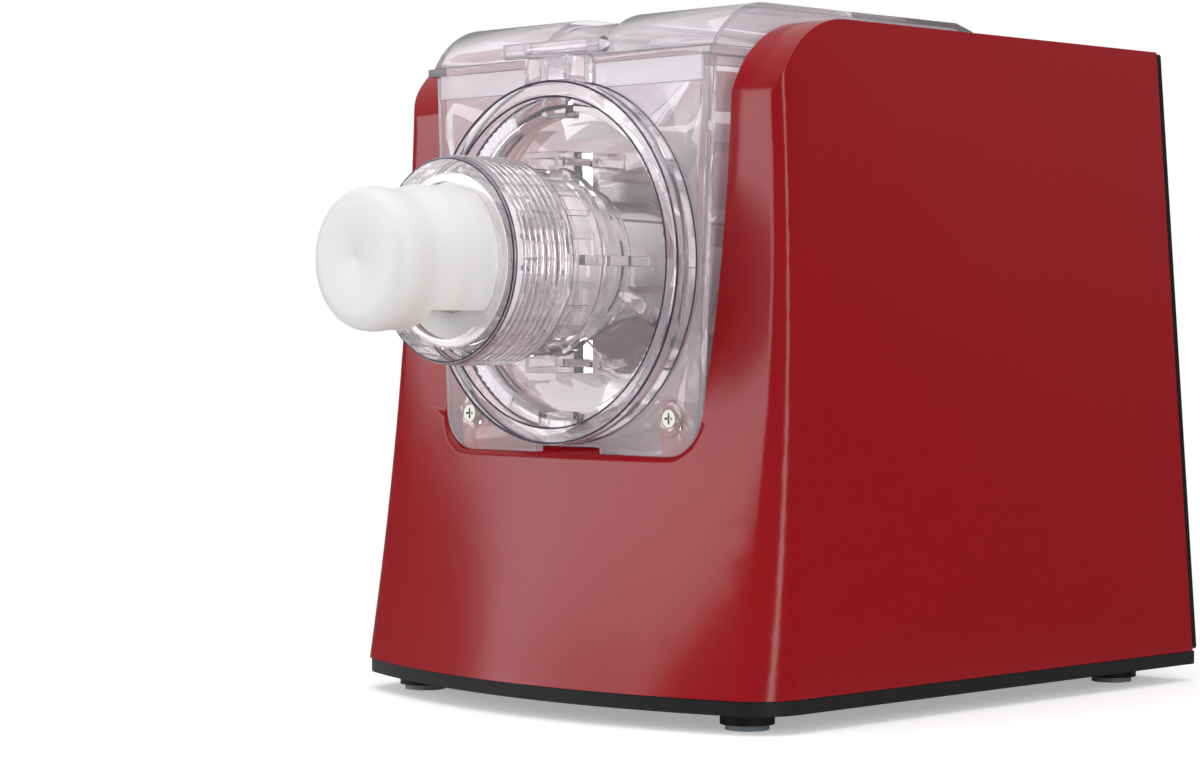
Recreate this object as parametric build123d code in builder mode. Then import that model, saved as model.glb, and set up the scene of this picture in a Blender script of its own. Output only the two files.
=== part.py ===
"""Electric pasta maker: every piece is one solid, or one group of like solids, in millimetres.

+Z is up, the front looks towards -Y and X = 0 is the plane of symmetry. The origin is the middle
of the overall box, on the floor.
"""

import os
from math import acos, asin, atan2, cos, degrees, dist, pi, radians, sin, sqrt, tan

from build123d import *

os.makedirs("parts", exist_ok=True)

# ---- Overall size ----
overall_height = 305.0
overall_depth = 412.0
body_width = 260.0  # the shell at its lower edge
snout_reach = 121.0  # from the chamber's front plate to the nose of the die head

# ---- Clearances ----
gap = 0.3  # between pieces that stand still side by side, or that one pass near the other
running_gap = 0.05  # all round a shaft in its bush
hole_gap = 0.15  # all round a screw or a pin in a clearance hole
over = 1.0  # how far a cut starts outside the face that it opens
blind = 2.0  # left at the closed end of a screw hole

# ---- Feet and base ----
foot_inset = 28.0  # from the side of the base to a foot's centre
foot_front = 6.0  # a front foot's centre behind the plate
foot_rear = 30.0  # a rear foot's centre ahead of the back
foot_cup_radius = 11.5
foot_cup_lip = 1.2  # how far a cup reaches down round its pad
foot_pad_radius = 9.3
foot_pad_height = 3.6
foot_height = 8.0
base_band = 6.4  # black edge that shows under the shell
base_floor = 3.0
base_wall = 3.0
base_edge_inset = 1.0
base_lip_rise = 6.0

# ---- Shell ----
shell_wall = 3.0
side_lean = 0.050  # each side comes in by this much for each mm of height
rear_lean = 0.038
lid_rise = 7.7  # the lid's top above the shell's
brow_radius = 44.0  # the shell's rounded front top edge, seen from the side
brow_front = 7.5  # where that rounding starts, behind the plate
rear_corner_radius = 1.5
rear_cover_wall = 3.0

# ---- Mixing chamber ----
plate_drop = 12.3  # its top edge below the shell's top
plate_height = 172.7
spindle_drop = 89.5  # the axis of auger, nut and die head below that top edge
plate_half_top = 86.4
plate_half_foot = 78.8
plate_corner = 17.5
plate_wall = 4.0
tub_radius = 75.0
tub_wall = 3.0
tub_half_top = 80.0
tub_length = 171.0
lip_height = 3.5
lip_half = 89.0
lip_front = 3.0
lip_rear = 174.0
boss_across = 63.0  # the lower screw bosses, from the middle
boss_rise = 16.3  # and above the plate's foot
boss_radius = 7.8
boss_proud = 1.2
guide_half = 19.0  # the guide for the lid's tongue: two cheeks with a slot between them
guide_slot_half = 9.0
guide_reach = 8.0
guide_rise = 12.0
strip_height = 10.5  # the frosted strips under the lip
strip_wall = 1.2
strip_gap = 4.0
notch_half = 20.0  # the notch in the plate's foot
notch_height = 2.8
seal_radius = 13.0
seal_rim = 2.0
seal_lip = 1.5

# ---- Well in the shell that the chamber stands in ----
well_half_foot = 79.8
well_half_top = 92.0
well_depth = 178.0
well_wall = 2.5

# ---- Front cover, its ring and its barrel ----
opening_radius = 70.0
cover_play = 0.4  # between the cover and the plate, all round
ring_radius = 79.3
ring_wall = 7.3
ring_reach = 12.0  # ahead of the plate
web_wall = 3.5
disc_set_back = 5.0
disc_wall = 3.0
lug_reach = 3.5
lug_width = 26.0  # degrees
lug_count = 4
lug_play = 3.0  # how much wider a notch is than its lug, in degrees
cover_turn = 30.0  # degrees from locked to free
bore_radius = 24.0
tube_wall = 3.0
tube_inside = 62.0  # how far the tube runs back into the chamber
barrel_radius = 34.5
barrel_wall = 3.5
barrel_reach = 62.0
collar_radius = 42.0
collar_wall = 4.5
collar_front = 15.5
grip_half_width = 10.5
grip_reach = 48.0
grip_wall = 2.5
catch_half = 7.5  # the pocket block at the top of the ring
catch_height = 9.0
foot_block_half = 11.0  # the latch block at its foot
foot_block_height = 7.0
arm_reach = 46.0  # the arms beside the barrel
arm_wall = 4.2
arm_front = 34.0
arm_gap = 2.0
dough_start = 12.0  # the windows in the tube, behind the plate
dough_end = 56.0
dough_rise = 9.0
fin_wall = 2.6
fin_start = 19.0
fin_end = 52.0
fin_reach = 44.0

# ---- Thread of the ring nut ----
thread_pitch = 6.0
thread_depth = 2.0
thread_play = 0.5
thread_lead = 2.5  # from the barrel's end to its first turn
thread_root_width = 2.6
thread_crest_width = 1.3
barrel_turns = 5.5
nut_turns = 4.0

# ---- Ring nut ----
nut_radius = 44.0
skirt_radius = 40.5
nut_bore = 37.1
nut_step = 37.4  # the end of the wide part ahead of the plate
nut_lip_wall = 4.0
nut_room = 1.8  # between the nut's lip and the die head
nut_chamfer = 1.0

# ---- Die head and die ----
head_radius = 31.6
head_waist_radius = 29.2
head_cap_radius = 30.0
head_flange_radius = 36.2
head_flange_wall = 5.2
head_bore = 22.0
head_nose_wall = 18.0
head_cap = 10.0  # these three from the nose: where the head is widest again,
head_waist = 21.0  # where it is narrowest,
head_neck = 35.0  # and where it starts to narrow
nose_round = 8.0
head_flat_drop = 21.2  # the flat under the head, below the axis
die_length = 24.0
die_set_out = 83.5  # the die's middle ahead of the plate
die_width = 32.0
die_flange_wall = 2.6
die_body_wall = 5.0
die_ledge = 2.5
die_rim = 1.5  # the head's wall ahead of the die
die_hole_radius = 1.4
die_rows = 4
die_columns = 6
die_pitch = 4.2

# ---- Auger and mixing paddle ----
auger_core = 9.0
auger_play = 0.8
auger_recess = 3.0  # its front end inside the barrel's
auger_end = 134.0  # its rear end behind the plate
auger_nose = 0.5
auger_nose_radius = 5.0
auger_hub_wall = 3.0  # the thicker root round the drive socket
socket_depth = 24.0
flight_wall = 3.4
flight_pitch = 26.0
flight_turns = 4.0
flight_root = 0.8  # how far a flight is let into the core
flight_flare = 0.6  # wider than its wall by this at the root, each side
flight_taper = 0.4  # and thinner at its edge
drive_square = 10.0
square_play = 0.3
paddle_hub_radius = 18.0
paddle_reach = 71.0
blade_wall = 9.0
blade_width = 56.0  # degrees
blade_front_upper = 14.0  # where each blade starts behind the plate
blade_front_lower = 40.0
blade_cut = 22.4  # degrees of each blade's leading end that are cut back
blade_cut_middle = 23.5
blade_cut_length = 16.0
arm_width = 30.0
arm_set_back = 4.0  # behind the hub's front face

# ---- Lid ----
lid_half = 88.0
lid_wall = 2.5
lid_front_radius = 36.0
lid_front_run = 32.0  # from the lid's front edge back to where its top is level
lid_gap = 0.4  # over the chamber's lip
hinge_set_back = 167.4  # the hinge behind the plate
hinge_rise = 8.6  # the hinge above the lid's lower edge
hinge_pin_radius = 3.0
hinge_fall = 8.0  # the lid's top ends this far ahead of the hinge
hinge_hub_wall = 2.0
pin_depth = 4.0  # how far a hinge pin goes into the shell's cheek
pin_boss_radius = 6.5
channel_half = 19.0
channel_depth = 3.0
channel_end = 128.0
pour_length = 44.0
pour_width = 14.0
pour_inset = 6.0  # from the channel's rear end
grip_bar_radius = 3.4
grip_bar_length = 62.0
grip_bar_ahead = 8.0
grip_foot = 4.5  # the bar's foot on the lid, behind the plate's front
grip_foot_height = 5.8
tongue_half = 6.5
tongue_wall = 3.5

# ---- Lid switch ----
plunger_radius = 1.5
plunger_travel = 1.5
plunger_across = 58.0
plunger_drop = 3.5  # below the hinge
plunger_inside = 6.0
switch_depth = 10.0
switch_half = 10.0
switch_low = 6.0

# ---- Gear train ----
pressure_angle = 25.0
tooth_play = 0.28  # taken off each tooth's width
module_fast = 1.25
module_slow = 2.0
pinion_teeth = 13
step_teeth = 14
output_teeth = 74
slow_face = 14.0
fast_face = 10.0
output_shaft_radius = 8.0
step_shaft_radius = 5.0
motor_shaft_radius = 4.0
square_reach = 22.0  # how far the output shaft's square goes ahead of the paddle, into the auger
shaft_end = 2.0
shaft_nose = 3.0  # the motor shaft ahead of its fan
shaft_room = 1.0  # round the motor's shaft in the walls that it only passes
pinion_edge = 1.0  # the motor pinion past the step wheel, each side
gear_web_recess = 4.0
gear_hub_wall = 6.0
gear_hub_step = 2.0  # the web's recess starts this far outside the hub
gear_rim_modules = 3.0
step_hub_wall = 5.0
root_modules = 1.25  # a tooth's depth below the pitch circle
flank_steps = 5

# ---- Gearbox ----
gearbox_set_back = 182.0  # behind the plate
gearbox_wall = 4.0
gearbox_rim = 3.0
gear_room = 2.0
bush_wall = 3.0
bush_proud = 1.0  # a bush's end past the wall that holds it
gearbox_boss_radius = 6.0
gearbox_boss_angles = (0, 60, 120, 180)  # round the output shaft
gearbox_foot_half = 34.0

# ---- Motor ----
motor_lift = 12.875  # the can above the base's floor
motor_headroom = 9.625  # and below the well
motor_can_wall = 1.5
motor_length = 94.0
motor_end_wall = 4.0
motor_set_back = 62.0  # the motor's front end behind the plate
stator_wall = 13.0
air_gap = 0.8
bearing_radius = 8.0
bearing_length = 5.0
bearing_seat_wall = 3.0
vent_radius = 5.0  # round openings in the motor's ends
vent_holes = 8
coil_wall = 8.0
coil_inset = 2.0  # from the stator's inner and outer faces
rotor_edge = 2.0  # the rotor past the stator, each end
core_inset = 18.0  # the stator's stack from the can's ends
fan_inset = 7.0  # the fan's tips inside the can's outline
fan_wall = 9.0
fan_plate = 1.5
fan_hub_wall = 4.0
fan_blade_wall = 1.6
fan_gap = 3.0  # ahead of the motor's front end
fan_blades = 9

# ---- Motor mount ----
cradle_half = 30.4
mount_bolt = 37.0  # a bolt from the middle
mount_edge = 7.0  # from a bolt to the plate's edge
mount_wall = 3.0
mount_length = 12.0
mount_inset = 10.0  # a mount's foot from the motor's end
mount_grip = 17.1  # the cradle's top below the motor's axis
mount_tie_half = 14.0

# ---- Controls ----
panel_width = 152.0
panel_length = 62.0
panel_flange = 2.0
panel_wall = 2.5
panel_skirt = 3.0  # the panel's wall below its own plate
panel_skirt_wall = 2.0
panel_edge = 4.0  # how far the flange covers the deck round the opening
panel_set_back = 229.0
window_width = 46.0
window_length = 24.0
window_wall = 1.6
window_ledge = 2.0
module_inset = 3.0  # the display module inside its window's outline
cap_flange = 1.4
cap_flange_wall = 1.4
key_switch_size = 6.0
button_radius = 6.5
button_height = 2.0  # above the panel
button_travel = 1.2
button_places = (-58.0, -38.0, 38.0, 58.0)
button_names = ("power_button", "start_button", "program_button", "timer_button")
board_wall = 1.6
panel_board_drop = 14.0

# ---- Mains inlet and power board ----
inlet_inset = 52.0  # from the shell's side
inlet_rise = 38.0  # up the back from the shell's lower edge
inlet_width = 27.0
inlet_tall = 20.0
inlet_depth = 18.0
inlet_flange_width = 50.0
inlet_flange_tall = 24.0
inlet_flange_wall = 3.0
inlet_flange_corner = 3.0
inlet_screw_span = 40.0
inlet_wall = 2.0
inlet_end_wall = 3.0
inlet_key = 4.0  # the chamfers that stop a connector going in upside down
pin_across = 7.0
pin_rise = 2.0
pin_width = 4.0
pin_thick = 2.0
pin_tab = 6.0  # what stands out behind the inlet, for the leads
pin_recess = 3.0  # from the inlet's seat in to the blades' tips
power_board_width = 46.0
power_board_length = 84.0
power_board_lift = 9.0
power_board_inset = 52.0  # from the shell's side to its middle
power_board_set_back = 96.0
board_screw_inset = 5.0
board_post_wall = 2.8

# ---- Electronic components, as (across, along) sizes on the power board ----
capacitor_height = 20.0
capacitor_radius = 6.0
transformer_size = (28.0, 26.0)
transformer_height = 22.0
relay_size = (12.0, 11.0)
relay_height = 12.0
terminal_size = (24.0, 12.0)
terminal_height = 11.0
component_edge = 10.0  # from the transformer or the terminals to the board's end

# ---- Leads ----
lead_radius = 1.3
lead_bend = 6.0
lead_pitch = 7.0  # from one mains lead to the next
lead_spread = 3.0  # and one lead above the next
lead_rise = 9.0  # how high the mains leads loop over their terminals
lead_room = 12.0  # between the motor leads and the motor
solder_depth = 0.1  # the leads are soldered this far into the blades

# ---- Screws ----
screw_radius = 2.0
screw_head_radius = 3.8
screw_head_height = 2.4
base_screw_bite = 8.0  # how far a base screw goes up into the shell's post
inlet_screw_length = 10.0
board_screw_length = 6.0

# ---- Worked out from the above ----
plate_y = -overall_depth / 2 + snout_reach
back_lean = atan2(rear_lean, 1)
# The inlet's flange is the rearmost piece, so the back stands that much ahead of the overall depth
back_y = (overall_depth / 2 - inlet_flange_wall * cos(back_lean)
          + (inlet_rise - inlet_flange_tall / 2) * sin(back_lean))
base_top = foot_height + base_band
floor_top = foot_height + base_floor
shell_top = overall_height - lid_rise
plate_top = shell_top - plate_drop
plate_foot = plate_top - plate_height
spindle_height = plate_top - spindle_drop
well_floor = plate_foot - gap
well_rear = plate_y + well_depth
tub_rear = plate_y + tub_length
hinge_y = plate_y + hinge_set_back
lid_bottom = plate_top + lid_gap
hinge_height = lid_bottom + hinge_rise
gearbox_front_y = plate_y + gearbox_set_back
gear_room_y = gearbox_front_y + gearbox_wall
slow_y = gear_room_y + gear_room
fast_y = slow_y + slow_face + gear_room
gear_room_end = fast_y + fast_face + gear_room
parting_y = slow_y + slow_face + gear_room / 2
# The motor fills the room under the well, and the step wheel has the teeth that reach down to it
motor_radius = (well_floor - well_wall - motor_headroom - floor_top - motor_lift) / 2
step_height = spindle_height - module_slow * (step_teeth + output_teeth) / 2
wheel_teeth = round(2 * (step_height - floor_top - motor_lift - motor_radius) / module_fast) - pinion_teeth
motor_height = step_height - module_fast * (pinion_teeth + wheel_teeth) / 2
barrel_front = plate_y - barrel_reach
flange_back = barrel_front - gap
flange_front = flange_back - head_flange_wall
nut_front = flange_front - gap - nut_lip_wall
nut_back = plate_y - collar_front - 2 * gap


def half_width(height):
    """Half of the shell's width at a height."""
    return body_width / 2 - side_lean * (height - base_top)


def rear_at(height):
    """The Y of the shell's back at a height."""
    return back_y - rear_lean * (height - base_top)


def front_plane(y):
    """Upright plane across the machine, seen from the front."""
    return Plane(origin=(0, y, 0), x_dir=(1, 0, 0), z_dir=(0, -1, 0))


def turned(profile, height=spindle_height, mode=Mode.ADD):
    """Add or cut a lengthwise turned shape, from an outline of (Y, radius) points."""
    with BuildSketch(Plane.YZ) as section:
        with BuildLine():
            Polyline([(y, height + radius) for y, radius in profile], close=True)
        make_face()
    revolve(section.sketch, axis=Axis((0, 0, height), (0, 1, 0)), mode=mode)


def ring(start, end, inner, outer, height=spindle_height, mode=Mode.ADD):
    """A lengthwise tube, or a rod where the inner radius is 0."""
    turned([(start, inner), (end, inner), (end, outer), (start, outer)], height, mode)


def block(x_range, y_range, z_range, mode=Mode.ADD):
    """A box between two limits each way."""
    centre = [(low + high) / 2 for low, high in (x_range, y_range, z_range)]
    size = [high - low for low, high in (x_range, y_range, z_range)]
    with Locations(tuple(centre)):
        Box(*size, mode=mode)


def post(x, y, z_range, radius, mode=Mode.ADD):
    """An upright round post, or hole."""
    with Locations((x, y, (z_range[0] + z_range[1]) / 2)):
        Cylinder(radius, z_range[1] - z_range[0], mode=mode)


def rod(x, z, y_range, radius, mode=Mode.ADD):
    """A lengthwise round rod, or hole."""
    with Locations((x, (y_range[0] + y_range[1]) / 2, z)):
        Cylinder(radius, y_range[1] - y_range[0], rotation=(90, 0, 0), mode=mode)


def keep(piece, name):
    """Label a finished piece and write it."""
    piece.part.label = name
    export_step(piece.part, f"parts/{name}.step")


# =====================================================================================
# Housing: shell, base, rear cover and feet
# =====================================================================================

# Height, bow's middle and bow's corner from the plate, corner radius: the front bows out to the floor
shell_levels = (
    (base_top, -36.0, -9.0, 24.0),
    (well_floor, -5.0, 2.0, 12.0),
    (overall_height, 7.0, 8.0, 8.0),
)


def shell_section(level, inset, rear_inset):
    """The shell's plan at one level, with its faces moved in by inset."""
    height, middle, corner, radius = level
    half = half_width(height) - inset
    corner_y = plate_y + corner + inset
    rear_y = rear_at(height) - rear_inset
    with BuildSketch(Plane.XY.offset(height)) as section:
        with BuildLine():
            ThreePointArc((-half, corner_y), (0, plate_y + middle + inset), (half, corner_y))
            Line((half, corner_y), (half, rear_y))
            Line((half, rear_y), (-half, rear_y))
            Line((-half, rear_y), (-half, corner_y))
        make_face()
        fillet(section.vertices().sort_by(Axis.Y)[:2], radius - inset)
        fillet(section.vertices().sort_by(Axis.Y)[-2:], rear_corner_radius)
    return section.sketch


def shell_form(inset, rear_inset):
    """The solid inside the shell's outer faces moved in by inset."""
    brow_y = plate_y + brow_front + inset
    brow_z = shell_top - brow_radius
    radius = brow_radius - inset
    far_y = overall_depth
    with BuildPart() as form:
        loft([shell_section(level, inset, rear_inset) for level in shell_levels])
        with BuildSketch(Plane.YZ):
            with BuildLine():
                Line((brow_y - brow_radius, brow_z), (brow_y, brow_z))
                turn = radius * sin(radians(45))
                ThreePointArc(
                    (brow_y, brow_z),
                    (brow_y + radius - turn, brow_z + turn),
                    (brow_y + radius, brow_z + radius),
                )
                Polyline(
                    (brow_y + radius, brow_z + radius),
                    (far_y, brow_z + radius),
                    (far_y, 2 * overall_height),
                    (brow_y - brow_radius, 2 * overall_height),
                    (brow_y - brow_radius, brow_z),
                )
            make_face()
        extrude(amount=body_width, both=True, mode=Mode.SUBTRACT)
    return form.part


def well_outline(offset, y):
    """The well's outline from the front, moved outwards by offset."""
    with BuildSketch(front_plane(y)) as outline:
        with BuildLine():
            Polyline(
                (-well_half_foot - offset, well_floor - offset),
                (well_half_foot + offset, well_floor - offset),
                (well_half_top + offset, shell_top + 2 * shell_wall),
                (-well_half_top - offset, shell_top + 2 * shell_wall),
                close=True,
            )
        make_face()
        fillet(outline.vertices().group_by(Axis.Y)[0], plate_corner + offset)
    return outline.sketch


outer_form = shell_form(0, rear_cover_wall)
inner_form = shell_form(shell_wall, -rear_cover_wall)
far_front = plate_y - snout_reach / 2

# Walls of the well, cut to the shell's outside
with BuildPart() as well_walls:
    extrude(well_outline(well_wall, far_front), amount=-(well_rear + well_wall - far_front))
    add(outer_form, mode=Mode.INTERSECT)

# Posts for the base screws, the rear cover screws and the chamber screws
base_post_length = 22.0
base_post_size = 12.0
base_post_inset = 13.0  # from the shell's side to a post's centre
base_post_rows = (plate_y + 42.0, plate_y + 148.0, back_y - 58.0)
base_post_places = [
    (side * (half_width(base_top) - base_post_inset), y) for side in (-1, 1) for y in base_post_rows
]
base_post_foot = base_top + base_lip_rise + gap
rear_post_length = 20.0
rear_post_size = 12.0
rear_post_inset = 9.5
rear_post_low = base_top + 27.6
rear_post_high = shell_top - 35.3
rear_post_heights = (rear_post_low, (rear_post_low + rear_post_high) / 2, rear_post_high)
rear_post_places = [
    (side * (half_width(z) - rear_post_inset), z) for side in (-1, 1) for z in rear_post_heights
]
with BuildPart() as posts:
    for x, y in base_post_places:
        side = 1 if x > 0 else -1
        low, high = sorted((x - side * base_post_size / 2, x + side * 4 * base_post_size))
        block(
            (low, high),
            (y - base_post_size / 2, y + base_post_size / 2),
            (base_post_foot, base_post_foot + base_post_length),
        )
    for x, z in rear_post_places:
        side = 1 if x > 0 else -1
        low, high = sorted((x - side * rear_post_size / 2, x + side * 4 * rear_post_size))
        end = rear_at(z) - 2 * rear_cover_wall
        block((low, high), (end - rear_post_length, end), (z - rear_post_size / 2, z + rear_post_size / 2))
    add(outer_form, mode=Mode.INTERSECT)

chamber_screw_length = 16.0
boss_z = plate_foot + boss_rise
panel_y = plate_y + panel_set_back
cheek_x = well_half_top - (well_half_top - well_half_foot) * (shell_top - hinge_height) / plate_height

with BuildPart() as housing_shell:
    add(outer_form)
    add(inner_form, mode=Mode.SUBTRACT)
    add(well_walls.part)
    extrude(well_outline(0, far_front), amount=-(well_rear - far_front), mode=Mode.SUBTRACT)
    add(posts.part)
    # Two posts in the well behind the plate take the chamber's lower screws
    for side in (-1, 1):
        x = side * boss_across
        post_front = plate_y + plate_wall + gap
        rod(x, boss_z, (post_front, post_front + chamber_screw_length), boss_radius)
        block(
            (x - boss_radius, x + boss_radius),
            (post_front, post_front + chamber_screw_length),
            (well_floor - well_wall / 2, boss_z),
        )
        rod(x, boss_z, (post_front - over, post_front + chamber_screw_length - blind),
            screw_radius + hole_gap, mode=Mode.SUBTRACT)
    # Bosses and blind bores for the lid's hinge pins
    for side in (-1, 1):
        with Locations((side * (cheek_x + well_wall), hinge_y, hinge_height)):
            Cylinder(pin_boss_radius, 2 * well_wall, rotation=(0, 90, 0))
        block(
            sorted((side * (cheek_x - well_wall - gap), side * (cheek_x - 2 * pin_boss_radius))),
            (hinge_y - pin_boss_radius, hinge_y + pin_boss_radius),
            (hinge_height - pin_boss_radius, hinge_height + pin_boss_radius),
            mode=Mode.SUBTRACT,
        )
        with Locations((side * cheek_x, hinge_y, hinge_height)):
            Cylinder(hinge_pin_radius + running_gap, 2 * pin_depth, rotation=(0, 90, 0),
                     mode=Mode.SUBTRACT)
    block((-body_width, body_width), (plate_y, well_rear), (shell_top, overall_height), mode=Mode.SUBTRACT)
    # Holes for the output shaft's seal, the lid switch and the control panel
    rod(0, spindle_height, (well_rear - over, well_rear + 2 * well_wall), seal_radius + gap,
        mode=Mode.SUBTRACT)
    rod(plunger_across, hinge_height - plunger_drop, (well_rear - over, well_rear + 2 * well_wall),
        plunger_radius + gap, mode=Mode.SUBTRACT)
    block(
        (-panel_width / 2 + panel_edge, panel_width / 2 - panel_edge),
        (panel_y - panel_length / 2 + panel_edge, panel_y + panel_length / 2 - panel_edge),
        (shell_top - 2 * shell_wall, overall_height),
        mode=Mode.SUBTRACT,
    )
    for x, y in base_post_places:
        post(x, y, (base_post_foot - over, base_post_foot + base_post_length - 2 * blind),
             screw_radius + hole_gap, mode=Mode.SUBTRACT)
    for x, z in rear_post_places:
        rod(x, z, (rear_at(z) - rear_post_length, rear_at(z)), screw_radius + hole_gap, mode=Mode.SUBTRACT)
keep(housing_shell, "housing_shell")

# Base: a tray under the shell, with a lip that stands inside it and bosses for what it carries
foot_places = [
    (side * (half_width(base_top) - foot_inset), y)
    for side in (-1, 1)
    for y in (plate_y + foot_front, back_y - foot_rear)
]
cup_screw_length = 9.0
board_x = half_width(base_top) - power_board_inset
board_y = plate_y + power_board_set_back
board_z = floor_top + power_board_lift
board_posts = [
    (board_x + dx * (power_board_width / 2 - board_screw_inset),
     board_y + dy * (power_board_length / 2 - board_screw_inset))
    for dx in (-1, 1)
    for dy in (-1, 1)
]
mount_half = mount_bolt + mount_edge
mount_places = (plate_y + motor_set_back + mount_inset,
                plate_y + motor_set_back + motor_length - mount_inset - mount_length)
vent_length = 46.0
vent_width = 4.0
vent_count = 7
vent_pitch = 9.0

lip_inset = shell_wall + gap + base_edge_inset
lip_rear_inset = 2 * rear_cover_wall + 4 * gap
lip_front_inset = 4.0  # the shell's front leans back as it rises
base_level = (foot_height,) + shell_levels[0][1:]
_, lip_middle, lip_corner, lip_round = shell_levels[0]
lip_level = (foot_height, lip_middle + lip_front_inset, lip_corner + lip_front_inset, lip_round)
with BuildPart() as base_plate:
    extrude(shell_section(base_level, base_edge_inset, base_edge_inset), amount=base_band - gap)
    extrude(shell_section(lip_level, lip_inset, lip_rear_inset), amount=base_band + base_lip_rise)
    extrude(shell_section(lip_level, lip_inset + base_wall, lip_rear_inset + base_wall),
            amount=base_band + base_lip_rise, mode=Mode.SUBTRACT)
    extrude(shell_section(base_level, base_edge_inset, base_edge_inset), amount=base_floor)
    for x, y in base_post_places:
        post(x, y, (foot_height, base_post_foot - gap), base_post_size / 2)
        post(x, y, (foot_height - over, base_post_foot), screw_radius + hole_gap, mode=Mode.SUBTRACT)
        post(x, y, (foot_height - over, foot_height + screw_head_height), screw_head_radius + hole_gap,
             mode=Mode.SUBTRACT)
    for x, y in foot_places:
        post(x, y, (foot_height, foot_height + cup_screw_length), foot_pad_radius)
        post(x, y, (foot_height - over, foot_height + cup_screw_length - blind), screw_radius + hole_gap,
             mode=Mode.SUBTRACT)
    for x, y in board_posts:
        post(x, y, (foot_height, board_z), screw_radius + board_post_wall)
        post(x, y, (floor_top, board_z + over), screw_radius + hole_gap, mode=Mode.SUBTRACT)
    with BuildSketch(Plane.XY.offset(foot_height)):
        with Locations((0, plate_y + motor_set_back + motor_length / 2)):
            with GridLocations(0, vent_pitch, 1, vent_count):
                SlotOverall(vent_length, vent_width)
    extrude(amount=base_floor, mode=Mode.SUBTRACT)
keep(base_plate, "base_plate")

with BuildPart() as foot_cups:
    for x, y in foot_places:
        post(x, y, (foot_pad_height - foot_cup_lip, foot_height), foot_cup_radius)
        post(x, y, (0, foot_pad_height), foot_pad_radius + gap / 2, mode=Mode.SUBTRACT)
        post(x, y, (0, foot_height), screw_radius + hole_gap, mode=Mode.SUBTRACT)
keep(foot_cups, "foot_cups")

with BuildPart() as foot_pads:
    for x, y in foot_places:
        post(x, y, (0, foot_pad_height), foot_pad_radius)
keep(foot_pads, "foot_pads")


def screw(place, direction, length):
    """A pan-head screw whose head seats at place and whose shank runs along direction."""
    seat = Plane(origin=place, z_dir=direction)
    with BuildSketch(seat) as shank_end:
        Circle(screw_radius)
    extrude(shank_end.sketch, amount=length)
    with BuildSketch(seat) as head_seat:
        Circle(screw_head_radius)
    extrude(head_seat.sketch, amount=-screw_head_height)


with BuildPart() as base_screws:
    for x, y in base_post_places:
        screw((x, y, foot_height + screw_head_height), (0, 0, 1),
              base_post_foot - foot_height + base_screw_bite)
    for x, y in board_posts:
        screw((x, y, board_z + board_wall), (0, 0, -1), power_board_lift)
keep(base_screws, "base_screws")

# Rear cover: a flat panel the size of the shell's back, which leans with it
back_plane = Plane(origin=(0, back_y, base_top), x_dir=(-1, 0, 0),
                   z_dir=(0, cos(back_lean), sin(back_lean)))
back_height = (shell_top - base_top) / cos(back_lean)
inlet_local = half_width(base_top) - inlet_inset
louvre_length = 62.0
louvre_width = 3.6
louvre_pitch = 9.0
louvre_count = 8
louvre_rise = 147.0  # the middle one, up the back
louvre_gap = 12.0
cover_edge_inset = 0.6
cover_lip = 3.0


def back_outline(inset):
    """The shell's back, moved in by inset."""
    low = half_width(base_top) - inset
    high = half_width(shell_top) - inset
    with BuildSketch(back_plane) as outline:
        with BuildLine():
            Polyline((-low, inset), (low, inset), (high, back_height - inset),
                     (-high, back_height - inset), close=True)
        make_face()
        fillet(outline.vertices(), rear_corner_radius)
    return outline.sketch


with BuildPart() as rear_cover:
    extrude(back_outline(cover_edge_inset), amount=-(rear_cover_wall - gap))
    extrude(back_outline(shell_wall + gap), amount=-(rear_cover_wall + cover_lip))
    extrude(back_outline(2 * shell_wall), amount=-2 * rear_cover_wall - cover_lip, mode=Mode.SUBTRACT)
    extrude(back_outline(shell_wall + gap), amount=-(rear_cover_wall - gap))
    with BuildSketch(back_plane):
        for side in (-1, 1):
            with Locations((side * (louvre_length + louvre_gap) / 2, louvre_rise)):
                with GridLocations(0, louvre_pitch, 1, louvre_count):
                    SlotOverall(louvre_length, louvre_width)
        with Locations((inlet_local, inlet_rise)):
            Rectangle(inlet_width + 2 * gap, inlet_tall + 2 * gap)
            with GridLocations(inlet_screw_span, 0, 2, 1):
                Circle(screw_radius + hole_gap)
    extrude(amount=-2 * rear_cover_wall, mode=Mode.SUBTRACT)
    for x, z in rear_post_places:
        rod(x, z, (rear_at(z) - 4 * rear_cover_wall, rear_at(z) + 1), screw_radius + hole_gap,
            mode=Mode.SUBTRACT)
        block((x - rear_post_size / 2 - gap, x + rear_post_size / 2 + gap),
              (rear_at(z) - 4 * rear_cover_wall, rear_at(z) - rear_cover_wall - gap),
              (z - rear_post_size / 2 - gap, z + rear_post_size / 2 + gap), mode=Mode.SUBTRACT)
keep(rear_cover, "rear_cover")

with BuildPart() as rear_cover_screws:
    for x, z in rear_post_places:
        screw((x, rear_at(z - screw_head_radius), z), (0, -1, 0), rear_post_length)
keep(rear_cover_screws, "rear_cover_screws")

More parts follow.
